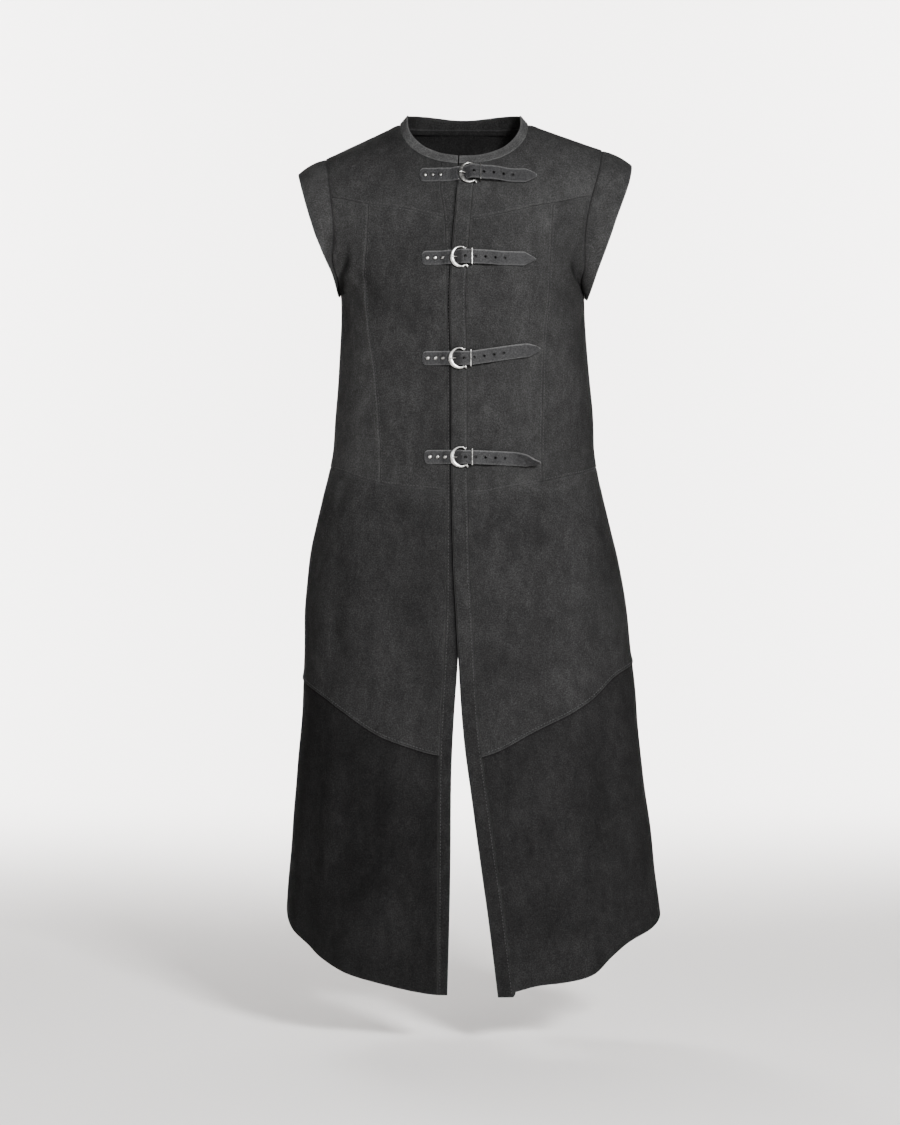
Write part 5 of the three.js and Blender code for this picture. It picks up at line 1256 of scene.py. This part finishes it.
def addCollar():
    backNeck = spotsOf(-1 - 2 * steps(72)[1:-1], 0)
    toRight = mix(bandTop["right"], neckFront["right"][-1], np.array([[0.06], [0.35], [0.7]]))
    toLeft = mix(neckFront["left"][-1], bandTop["left"], np.array([[0.3], [0.65], [0.94]]))
    spots = np.concatenate([
        bandTop["right"][None], toRight, neckFront["right"][::-1], backNeck,
        neckFront["left"], toLeft, bandTop["left"][None],
    ])
    normal = formNormal(spots[:, 0], spots[:, 1])
    seam = formPoint(spots[:, 0], spots[:, 1]) + normal * creaseHeight(spots[:, 0], spots[:, 1])[:, None]
    level = 0 * seam[:, 0]
    facing = unit(np.stack([seam[:, 0] / form["neckHalfWidth"], seam[:, 1] / form["neckDrop"], level], -1))
    frontShare = np.maximum(0, -facing[:, 1]) ** 2
    backShare = np.maximum(0, facing[:, 1]) ** 2
    sideShare = 1 - frontShare - backShare

    def blend(sizes):
        return sizes["front"] * frontShare + sizes["side"] * sideShare + sizes["back"] * backShare

    away = -facing * blend(collar["lean"])[:, None]
    away[:, 2] = blend(collar["rise"]) + collar["quarterRise"] * 4 * sideShare * backShare
    along = unit(away)
    wallUp = unit(np.cross(along, np.stack([-facing[:, 1], facing[:, 0], level], -1)))
    wallUp *= np.where(np.sum(wallUp * normal, axis=-1) < 0, -1, 1)[:, None]
    part = np.array(collar["levels"])[:, None, None]
    middle = seam[None] + along * cloth["seamGap"] / 2 * (1 - part) + away[None] * part
    out = unit(mix(normal[None], wallUp[None], part))
    length = np.linalg.norm(away, axis=-1)[None]
    fromTop, fromSeam = (1 - part[..., 0]) * length, part[..., 0] * length
    foldDrop = collar["foldDrop"] * rollOff(fromTop, collar["foldWidth"])
    seamDrop = borderWork["rollDrop"] * rollOff(fromSeam, borderWork["rollWidth"])
    spot = np.arange(len(spots))[None]
    wave = 0.25 * np.sin(spot * 0.37) * part[..., 0] + 0.2 * np.sin(spot * 0.9 + 1)
    height = cloth["bandRise"] + wave
    outer = middle + out * (height - foldDrop - seamDrop)[..., None]
    inner = middle + out * (height - cloth["bandWall"] + foldDrop)[..., None]
    uv = np.stack(np.broadcast_arrays(lineLengths(seam[None]), fromSeam), axis=-1)
    # The seam allowance lies inside, under the fronts and the back.
    uv = np.concatenate([uv, uv[-1:], uv[-1:]])
    for reach in (0, cloth["allowance"]):
        tucked = seam - along * reach - normal * collar["allowanceSink"]
        outer = np.concatenate([outer, tucked[None]])
        inner = np.concatenate([inner, (tucked - normal * cloth["tuckWall"])[None]])
    piece = wallMesh("cloth_collar_band", outer, inner, uv)
    tidyShell(piece)
    # Rubbed lighter, with a painted highlight, along the top fold, at the ends and along the seam line.
    topRubAndHighlight, topWidth = collar["topRubAndHighlight"]
    rubAndHighlight = topRubAndHighlight * nearness(fromTop, topWidth) + collar["seamRub"] * nearness(fromSeam, borderWork["rubWidth"])
    rubAndHighlight[:, [0, -1]] = topRubAndHighlight
    rubAndHighlight = np.concatenate([rubAndHighlight, 0 * rubAndHighlight[-2:]])
    # Painted light on the outer side; painted shade on the inner side and the allowance.
    dyeAndShade = [np.full(rubAndHighlight.shape, panelTonesAndShade["collar"][side]) for side in ("outside", "inside")]
    dyeAndShade[1][-2:] = panelTonesAndShade["collar"]["allowance"]
    markPiece(piece, np.append(rubAndHighlight, rubAndHighlight * collar["insideRub"]), np.append(*dyeAndShade))
    finishPiece(piece, trimMaterial, "suede_trim", "collar_band")


addCollar()
print("sleeves and collar made")


# Strap closures. Each is modelled flat in millimetres: x across the front, y up the strap and z
# out from the form. Then it is laid on the form at its own height.
closureSizes = ("x", "z", "start", "tip", "tilt", "tipLift", "twist", "point", "taper")
closures = [
    # middle x and height, start and tip along it; tilt, lift, twist and point of its free end
    (11.7, -79, -71.7, 85.3, -0.02, 1.5, 0.05, 1.6, 0.85),
    (0, -193, -56.6, 94, -0.01, 2, 0.04, 0.8, 1.0),
    (-1.6, -326.5, -54.4, 99.5, 0.15, 4, 0.25, 1.2, 0.72),
    (0.3, -458.2, -53.7, 97.2, -0.045, 6, 1.0, 1.2, 0.8),
]
strap = {
    "halfWidth": 9.25,
    "wall": 1.9,
    "pointLength": 15,
    "corner": 6,
    "prongHole": -10.5,
    "holes": [1.1, 14.2, 27.3, 40.4, 53.5],
    "holeRadius": 1.75,
    "edgeRound": 0.4,
    "freeFrom": 50,      # where its end starts to lift
    "twistFrom": 58,
    "onBody": 1.3,       # height of its middle over the form, then over the band
    "onBand": 0.65,
    "cell": 1.6,
    "lowerEdgeShare": 0.35,   # its upper edge is lighter than the lower one: rubbed, and with a painted highlight
    "wearAndHighlightWidth": 0.5,
    # Painted shade in each hole and round its rim.
    "holeShade": 0.1,
    # along the strap, height of its middle over the form
    "heights": [
        (-80, 1.3), (-60, 1.3), (-36, 1.3), (-30, 1.95), (-25, 3.9), (-20, 5.55), (-13.5, 5.65),
        (-11.5, 6), (-7, 9.1), (-3, 12.1), (-1, 12.35), (4, 12.2), (10, 10.3), (17, 9.3),
        (24, 9), (35, 7), (46, 3.2), (58, 1.9), (110, 1.6),
    ],
}
chape = {
    "halfWidth": 7.5, "wall": 1.5, "edgeRound": 0.3, "slot": (17, 4), "slotPoint": 4, "foldRadius": 2.35,
    "under": (34, 28, 20, 13, 8, 5),
    "foldTurns": (-75, -98, -120, -142, -165, 173, 150, 130, 108, 90, 80),
    "over": ((9, 2.2), (15, 1.85), (22, 1.85)),   # along, and height over the lower layer
}
bar = {"x": 1.1, "h": 7.9, "halfLength": 11.6, "radius": 1.2}
keeper = {
    "x": 10, "width": 1.4, "wall": 1.5, "clearance": 0.55, "footSink": 0.05, "edgeRound": 0.35, "dyeAndShade": 0.6,
}


def closurePoint(closure, x, w, h):
    bend = np.maximum(0, x - keeper["x"])
    slope = np.where(bend > 0, closure["tilt"], 0)
    z = closure["z"] + bend * closure["tilt"] + w / np.hypot(1, slope)
    shiftedX = closure["x"] + x - w * slope / np.hypot(1, slope)
    turn = turnAtX(shiftedX, z)
    return formPoint(turn, z) + formNormal(turn, z) * np.asarray(h)[..., None]


def strapHeight(closure, x):
    pastSeam = closure["x"] + x - edgeX(-1, closure["z"], "seam")
    seat = strap["onBody"] + strap["onBand"] * easeStep((pastSeam + 8) / 6)
    rest = np.maximum(seat, readRows(strap["heights"], x))
    free = (x - strap["freeFrom"]) / (closure["tip"] - strap["freeFrom"])
    return rest + closure["tipLift"] * easeStep(free)


# Height of the under side of what lies on the over front, from its band to its panels.
def seatHeight(closure, x, wall):
    placeX = closure["x"] + x
    onBand = cloth["bandRise"] if placeX < edgeX(1, closure["z"], "seam") + 1 else 0
    lift = float(overLift(turnAtX(placeX, closure["z"]), closure["z"]))
    return lift + onBand + cloth["seamGap"] + wall / 2 + 0.4 * float(easeStep((x - 14) / 14))


def nameOf(piece, name):
    piece.name = piece.data.name = name
    return piece


def applyModifier(piece, kind, **settings):
    modifier = piece.modifiers.new(kind.lower(), kind)
    for key, value in settings.items():
        setattr(modifier, key, value)
    bpy.context.view_layer.objects.active = piece
    bpy.ops.object.modifier_apply(modifier=modifier.name)


def roundEdges(piece, width):
    applyModifier(piece, "BEVEL", width=width, segments=2, limit_method="ANGLE", angle_limit=math.radians(50))


def vertexTable(piece):
    table = np.empty(len(piece.data.vertices) * 3)
    piece.data.vertices.foreach_get("co", table)
    return table.reshape(-1, 3)


def placeVertices(piece, table):
    piece.data.vertices.foreach_set("co", table.ravel())
    piece.data.update()


def pathLengths(path):
    return np.concatenate([[0], np.cumsum(np.hypot(*np.diff(path, axis=0).T))])


# Lays a flat strip along a path of (x, h) points. Its own x is the length along the path.
def layStrip(piece, closure, path, twisted=False):
    run = pathLengths(path)
    flat = vertexTable(piece)
    s = flat[:, 0]
    x, h = np.interp(s, run, path[:, 0]), np.interp(s, run, path[:, 1])
    ahead, behind = np.clip(s + 1.2, 0, run[-1]), np.clip(s - 1.2, 0, run[-1])
    dx = np.interp(ahead, run, path[:, 0]) - np.interp(behind, run, path[:, 0])
    dh = np.interp(ahead, run, path[:, 1]) - np.interp(behind, run, path[:, 1])
    length = np.hypot(dx, dh)
    outX, outH = -dh / length, dx / length
    free = (x - strap["twistFrom"]) / (closure["tip"] - strap["twistFrom"])
    angle = closure["twist"] * easeStep(free) if twisted else 0
    # The free end curls forward about its lower edge.
    fromLower = flat[:, 1] + strap["halfWidth"]
    w = fromLower * np.cos(angle) - flat[:, 2] * np.sin(angle) - strap["halfWidth"]
    out = fromLower * np.sin(angle) + flat[:, 2] * np.cos(angle)
    placeVertices(piece, closurePoint(closure, x + outX * out, w, h + outH * out) * mm)


# A strip of leather, cut flat: columns of a grid are drawn in to the outline, then it gets
# its thickness, its holes and its rounded edges.
def cutStrip(name, length, halfAt, wall, holes, edgeRound):
    bpy.ops.object.select_all(action="DESELECT")
    bpy.ops.mesh.primitive_grid_add(x_subdivisions=int(length / strap["cell"]), y_subdivisions=8, size=1)
    piece = nameOf(bpy.context.object, name)
    table = vertexTable(piece)
    table[:, 0] = (table[:, 0] + 0.5) * length
    table[:, 1] = table[:, 1] * 2 * halfAt(table[:, 0])
    placeVertices(piece, table)
    applyModifier(piece, "SOLIDIFY", thickness=wall, offset=0)
    for s, shape in holes:
        bpy.ops.object.select_all(action="DESELECT")
        if shape == "round":
            radius = strap["holeRadius"]
            bpy.ops.mesh.primitive_cylinder_add(vertices=20, radius=radius, depth=8, location=(s, 0, 0))
        else:
            bpy.ops.mesh.primitive_cube_add(size=1, location=(s, 0, 0))
            bpy.ops.transform.resize(value=(shape[0], shape[1], 8))
        punch = bpy.context.object
        applyModifier(piece, "BOOLEAN", operation="DIFFERENCE", object=punch, solver="EXACT")
        bpy.data.objects.remove(punch, do_unlink=True)
    roundEdges(piece, edgeRound)
    return piece


# A rod bent from a curve: its points carry their own radius.
def bendRod(name, points):
    shape = bpy.data.curves.new(name, "CURVE")
    shape.dimensions = "3D"
    shape.bevel_depth = 1.0
    shape.bevel_resolution = 4
    shape.resolution_u = 8
    shape.use_fill_caps = True
    line = shape.splines.new("NURBS")
    line.points.add(len(points) - 1)
    for point, (x, y, z, radius) in zip(line.points, points):
        point.co = (x, y, z, 1)
        point.radius = radius
    line.order_u = 3
    line.use_endpoint_u = True
    piece = bpy.data.objects.new(name, shape)
    bpy.context.collection.objects.link(piece)
    pick(piece)
    bpy.ops.object.convert(target="MESH")
    return bpy.context.object


def layPiece(piece, closure):
    flat = vertexTable(piece)
    placeVertices(piece, closurePoint(closure, flat[:, 0], flat[:, 1], flat[:, 2]) * mm)


def joinPieces(pieces):
    bpy.ops.object.select_all(action="DESELECT")
    for piece in pieces:
        piece.select_set(True)
    bpy.context.view_layer.objects.active = pieces[0]
    bpy.ops.object.join()
    return bpy.context.object


# The bow is a horseshoe open on the strap's side, with a horn at each end: along, up, radius.
bow = {
    "halfHeight": 14.5, "centreX": -5, "thick": 5.8, "thin": 2.1, "lowerThin": 3.0, "sag": 0.25, "height": 8.5,
    "turns": range(75, 286, 15),
    "upperHorn": [(2.6, 12.9, 0.5), (2.0, 12.0, 0.9), (1.0, 11.2, 1.1), (-0.4, 11.5, 1.15), (-1.4, 12.4, 1.2)],
    "lowerHorn": [
        (-1.2, -12.0, 1.6), (0.4, -11.0, 1.6), (2.2, -10.7, 1.7), (3.6, -12.0, 1.6), (4.2, -13.6, 1.1),
        (4.3, -14.6, 0.5),
    ],
    "hornSink": 0.35,
    "crown": 0.62,       # flatness of its rounded face
    "crownPower": 0.75,
    "lowShade": 0.16,   # painted shade, dark behind and at its sides
    # Painted shade on the bar, under the strap.
    "barShade": 0.12,
}


def makeBuckle():
    level = bow["height"]
    points = [(x, w, level - bow["hornSink"], radius) for x, w, radius in bow["upperHorn"]]
    for degrees in bow["turns"]:
        angle = math.radians(degrees)
        inBow = max(0.0, -math.cos(angle - bow["sag"])) ** 1.3
        thick = mix(bow["thin"] if degrees < 180 else bow["lowerThin"], bow["thick"], inBow)
        reach = bow["halfHeight"] - thick / 2
        place = bow["centreX"] + reach * math.cos(angle), reach * math.sin(angle), level + 0.1 * inBow
        points.append((*place, thick / 2))
    points += [(x, w, level - bow["hornSink"], radius) for x, w, radius in bow["lowerHorn"]]
    ring = bendRod("bow", points)
    # The casting is flat behind and crowned in front.
    table = vertexTable(ring)
    out = table[:, 2] - level
    table[:, 2] = level + np.sign(out) * np.abs(out) ** bow["crownPower"] * bow["crown"]
    placeVertices(ring, table)
    half = bar["halfLength"]
    rod = bendRod("bar", [(bar["x"], w, bar["h"], bar["radius"]) for w in (-half, -6, 0, 6, half)])
    buckle = joinPieces([ring, rod])
    table = vertexTable(buckle)
    # Painted shade: darker low on the casting and on the bar under the strap, bright on its crown.
    shine = mix(bow["lowShade"], 1.0, easeStep((table[:, 2] - level + 0.2) / 1.5))
    inBar = (np.abs(table[:, 0] - bar["x"]) < 1.6) & (np.abs(table[:, 1]) < 10)
    markPiece(buckle, 0.0, np.where(inBar, bow["barShade"], shine))
    return buckle


# The prong's eye goes round the bar, and its shaft drops through the hole and rests on the bow.
prongWire = {
    "eyeTurns": (-140, -95, -50, -5, 40, 85, 130, 160), "eyeRadius": 2.55, "eyeWire": 0.75,
    # along, height, radius
    "shaft": [
        (-3, 7.9, 0.8), (-6.5, 7.1, 0.85), (-9, 7.3, 0.9), (-11.5, 8.9, 0.9), (-14.5, 10.7, 0.85),
        (-17.6, 11.2, 0.6),
    ],
    # Painted shadow on the eye, under the strap.
    "eyeShadow": 0.08,
}


def makeProng():
    points = []
    for degrees in prongWire["eyeTurns"]:
        x = bar["x"] + prongWire["eyeRadius"] * math.cos(math.radians(degrees))
        h = bar["h"] + prongWire["eyeRadius"] * math.sin(math.radians(degrees))
        points.append((x, 0, h, prongWire["eyeWire"]))
    prong = bendRod("prong", points + [(x, 0, h, radius) for x, h, radius in prongWire["shaft"]])
    # The eye gets painted shadow.
    markPiece(prong, 0.0, mix(1.0, prongWire["eyeShadow"], easeStep((vertexTable(prong)[:, 0] + 11) / 3)))
    return prong


def makeKeeper(closure):
    top = float(strapHeight(closure, keeper["x"])) + strap["wall"] / 2 + keeper["clearance"]
    foot = seatHeight(closure, keeper["x"], chape["wall"]) - chape["wall"] / 2 + keeper["footSink"]
    leg = strap["halfWidth"] + cloth["seamGap"]
    bpy.ops.object.select_all(action="DESELECT")
    bpy.ops.mesh.primitive_cube_add(size=1, location=(keeper["x"], 0, top + keeper["wall"] / 2))
    bpy.ops.transform.resize(value=(keeper["width"], 2 * (leg + keeper["wall"]), keeper["wall"]))
    staple = nameOf(bpy.context.object, "keeper")
    bpy.ops.object.mode_set(mode="EDIT")
    for cut in (-leg, leg):
        bpy.ops.mesh.select_all(action="SELECT")
        bpy.ops.mesh.bisect(plane_co=(0, cut, 0), plane_no=(0, 1, 0))
    bpy.ops.mesh.select_all(action="DESELECT")
    bpy.ops.mesh.select_mode(type="FACE")
    for face in bmesh.from_edit_mesh(staple.data).faces:
        middle = staple.matrix_world @ face.calc_center_median()
        face.select = face.normal.z < -0.9 and abs(middle.y) > leg
    bpy.ops.mesh.extrude_region_move(TRANSFORM_OT_translate={"value": (0, 0, foot - top)})
    bpy.ops.object.mode_set(mode="OBJECT")
    bpy.ops.object.select_all(action="DESELECT")
    staple.select_set(True)
    bpy.ops.object.transform_apply(location=True, rotation=True, scale=True)
    roundEdges(staple, keeper["edgeRound"])
    markPiece(staple, 0.0, keeper["dyeAndShade"])
    return staple


rivet = {
    "radius": 3, "flange": 0.5, "first": 7.5, "spacing": 10.3, "count": 3,
    "dome": ((0.42, 0.9), (0.38, 0.8), (0.27, 0.66), (0.13, 0.45)),  # rise and shrink of each step
    "dyeAndShade": (0.95, 0.22),                                             # on top, and at its rim, where painted shade darkens it
}


def makeRivet():
    radius, flange = rivet["radius"], rivet["flange"]
    bpy.ops.object.select_all(action="DESELECT")
    bpy.ops.mesh.primitive_cylinder_add(vertices=24, radius=radius, depth=flange, location=(0, 0, flange / 2))
    dome = nameOf(bpy.context.object, "rivet")
    bpy.ops.object.mode_set(mode="EDIT")
    bpy.ops.mesh.select_mode(type="FACE")
    bpy.ops.mesh.select_all(action="DESELECT")
    for face in bmesh.from_edit_mesh(dome.data).faces:
        face.select = face.normal.z > 0.9
    for rise, shrink in rivet["dome"]:
        bpy.ops.mesh.extrude_region_move(TRANSFORM_OT_translate={"value": (0, 0, rise)})
        bpy.ops.transform.resize(value=(shrink, shrink, 1))
    bpy.ops.object.mode_set(mode="OBJECT")
    bpy.ops.object.transform_apply(location=True, rotation=True, scale=True)
    table = vertexTable(dome)
    radius = np.hypot(table[:, 0], table[:, 1])
    # Painted shade darkens the rim, where the rivet meets the strap.
    markPiece(dome, 0.0, mix(*rivet["dyeAndShade"], easeStep((radius - 1.3) / 1.1)))
    return dome


def copyOf(piece, name):
    copied = piece.copy()
    copied.data = piece.data.copy()
    bpy.context.collection.objects.link(copied)
    return nameOf(copied, name)


# The chape's path: in under the keeper, round the bar and back over itself.
def chapePath(closure):
    def seat(at):
        return seatHeight(closure, at, chape["wall"])

    under = [(at, seat(at)) for at in chape["under"]]
    radius = chape["foldRadius"]
    turns = [math.radians(degrees) for degrees in chape["foldTurns"]]
    fold = [(bar["x"] + radius * math.cos(turn), bar["h"] + radius * math.sin(turn)) for turn in turns]
    over = [(5, bar["h"] + 0.9), *((at, seat(at) + rise) for at, rise in chape["over"])]
    return np.array(under + fold + over)


def addStrap(name, closure):
    x = np.linspace(closure["start"], closure["tip"], 400)
    path = np.stack([x, strapHeight(closure, x)], axis=-1)
    run = pathLengths(path)

    def halfAt(s):
        corner = np.clip(1 - s / strap["corner"], 0, 1)
        startHalf = strap["halfWidth"] - strap["corner"] * (1 - np.sqrt(1 - corner**2))
        toTip = np.clip((run[-1] - s) / strap["pointLength"], 0, 1)
        return np.minimum(startHalf, mix(closure["point"], strap["halfWidth"], toTip ** closure["taper"]))

    holes = [(float(np.interp(at, x, run)), "round") for at in (strap["prongHole"], *strap["holes"])]
    band = cutStrip(f"strap_leather_{name}", run[-1], halfAt, strap["wall"], holes, strap["edgeRound"])
    flat = vertexTable(band)
    toEdge = np.minimum(halfAt(flat[:, 0]) - np.abs(flat[:, 1]), run[-1] - flat[:, 0])
    # Lighter edges: rubbed, and the upper one with a painted highlight.
    edgeWearAndHighlight = np.where(flat[:, 1] > 0, 1.0, strap["lowerEdgeShare"])
    edgeWearAndHighlight *= nearness(np.maximum(0, toEdge), strap["wearAndHighlightWidth"])
    toHole = np.min([np.hypot(flat[:, 0] - at, flat[:, 1]) for at, _ in holes], axis=0)
    markPiece(band, edgeWearAndHighlight, np.where(toHole < strap["holeRadius"] + 0.5, strap["holeShade"], 1.0))
    layStrip(band, closure, path, twisted=True)
    smoothShade(band)
    finishPiece(band, strapMaterial, "strap_leather", f"strap_{name}")


def addChape(name, closure):
    path = chapePath(closure)
    run = pathLengths(path)
    slotMiddle = run[len(chape["under"]) + chape["slotPoint"]]
    tongue = cutStrip(
        f"chape_leather_{name}", run[-1], lambda s: np.full(s.shape, chape["halfWidth"]), chape["wall"],
        [(slotMiddle, chape["slot"])], chape["edgeRound"],
    )
    markPiece(tongue, 0.0, 1.0)
    layStrip(tongue, closure, path)
    smoothShade(tongue)
    finishPiece(tongue, strapMaterial, "strap_leather", f"chape_{name}")


def addRivet(name, closure, number):
    stud = copyOf(rivetShape, f"rivet_metal_{name}_{number + 1}")
    at = closure["start"] + rivet["first"] + rivet["spacing"] * number
    tilt = math.atan(float(strapHeight(closure, at + 0.5) - strapHeight(closure, at - 0.5)))
    table = vertexTable(stud)
    along, up = table[:, 0].copy(), table[:, 2] + strap["wall"] / 2 + cloth["seamGap"]
    table[:, 0] = at + along * math.cos(tilt) - up * math.sin(tilt)
    table[:, 2] = float(strapHeight(closure, at)) + along * math.sin(tilt) + up * math.cos(tilt)
    placeVertices(stud, table)
    layPiece(stud, closure)
    smoothShade(stud)
    finishPiece(stud, metalMaterial, "antique_metal", f"rivet_{name}_{number + 1}")


buckleShape, prongShape, rivetShape = makeBuckle(), makeProng(), makeRivet()
for number, row in enumerate(closures):
    name, closure = str(number + 1), dict(zip(closureSizes, row))
    addStrap(name, closure)
    addChape(name, closure)
    buckle = copyOf(buckleShape, f"buckle_metal_{name}")
    prong = copyOf(prongShape, f"prong_metal_{name}")
    staple = nameOf(makeKeeper(closure), f"keeper_metal_{name}")
    for piece, node in ((buckle, "buckle"), (prong, "prong"), (staple, "keeper")):
        layPiece(piece, {**closure, "tilt": 0})
        smoothShade(piece)
        finishPiece(piece, metalMaterial, "antique_metal", f"{node}_{name}")
    for i in range(rivet["count"]):
        addRivet(name, closure, i)
for shape in (buckleShape, prongShape, rivetShape):
    bpy.data.objects.remove(shape, do_unlink=True)
print("closures made")

# Stage, light and camera, in metres.
bpy.ops.object.select_all(action="DESELECT")
stageSizes = {"floor": -1.245, "width": 22, "front": -10, "back": 7, "height": 9, "bend": 2.5, "near": 0.01}
backdrop, _, backdropShader, _ = startMaterial("backdrop_paper", Roughness=0.9)
backdropShader.inputs["Base Color"].default_value = linear("#f0edeb")

# A sheet of paper: the floor, a wide bend, and the wall behind.
depth = stageSizes["back"] - stageSizes["front"]
middle = (stageSizes["back"] + stageSizes["front"]) / 2
bpy.ops.mesh.primitive_plane_add(size=1, location=(0, middle, stageSizes["floor"]))
bpy.ops.transform.resize(value=(stageSizes["width"], depth, 1))
bpy.ops.object.transform_apply(location=True, scale=True)
floor = bpy.context.object
floor.name = "floor"
bpy.ops.object.mode_set(mode="EDIT")
bpy.ops.mesh.select_mode(type="EDGE")
bpy.ops.mesh.select_all(action="DESELECT")
for edge in bmesh.from_edit_mesh(floor.data).edges:
    edge.select = all(vertex.co.y > stageSizes["back"] - stageSizes["near"] for vertex in edge.verts)
bpy.ops.mesh.extrude_region_move(TRANSFORM_OT_translate={"value": (0, 0, stageSizes["height"])})
bpy.ops.mesh.select_all(action="DESELECT")
for edge in bmesh.from_edit_mesh(floor.data).edges:
    low = all(vertex.co.z < stageSizes["floor"] + stageSizes["near"] for vertex in edge.verts)
    edge.select = low and all(vertex.co.y > stageSizes["back"] - stageSizes["near"] for vertex in edge.verts)
bpy.ops.mesh.bevel(offset=stageSizes["bend"], segments=24)
bpy.ops.object.mode_set(mode="OBJECT")
bpy.ops.object.shade_smooth()
floor.data.materials.append(backdrop)

cameraSizes = {"lens": 105.13, "sensor": 36, "place": (-0.0192, -4.5, -0.5994), "reach": 100}
camera = bpy.data.cameras.new("camera")
cameraObject = bpy.data.objects.new("camera", camera)
bpy.context.collection.objects.link(cameraObject)
camera.lens, camera.sensor_width = cameraSizes["lens"], cameraSizes["sensor"]
camera.clip_end = cameraSizes["reach"]
cameraObject.location = cameraSizes["place"]
cameraObject.rotation_euler = (math.pi / 2, 0, 0)
bpy.context.scene.camera = cameraObject

# Soft studio light: a key from the right above the camera, a weak fill from the left, one from
# behind, and two that light the backdrop. Place, aim, size and watts.
softboxes = {
    "key_light": ((1.4, -4.5, 0.9), (0, 0, -0.5), 0.8, 590),
    "fill_light": ((-2.0, -4.2, 0.0), (0, 0, -0.6), 1.6, 50),
    "back_light": ((-1.6, 4.6, 2.4), (0, 0, -0.5), 1.4, 150),
    "backdrop_light_right": ((-3.4, 3.6, 1.4), (-1.36, 8, -0.3), 2.2, 800),
    "backdrop_light_left": ((3.4, 3.6, 1.4), (1.36, 8, -0.3), 2.2, 800),
}
for name, (place, aim, size, power) in softboxes.items():
    lamp = bpy.data.lights.new(name, "AREA")
    lamp.shape, lamp.size, lamp.energy = "SQUARE", size, power
    box = bpy.data.objects.new(name, lamp)
    bpy.context.collection.objects.link(box)
    box.location = place
    box.rotation_euler = (Vector(aim) - Vector(place)).to_track_quat("-Z", "Y").to_euler()

world = bpy.data.worlds.new("studio")
bpy.context.scene.world = world
world.use_nodes = True
world.node_tree.nodes["Background"].inputs["Color"].default_value = (1, 1, 1, 1)
world.node_tree.nodes["Background"].inputs["Strength"].default_value = 0.2
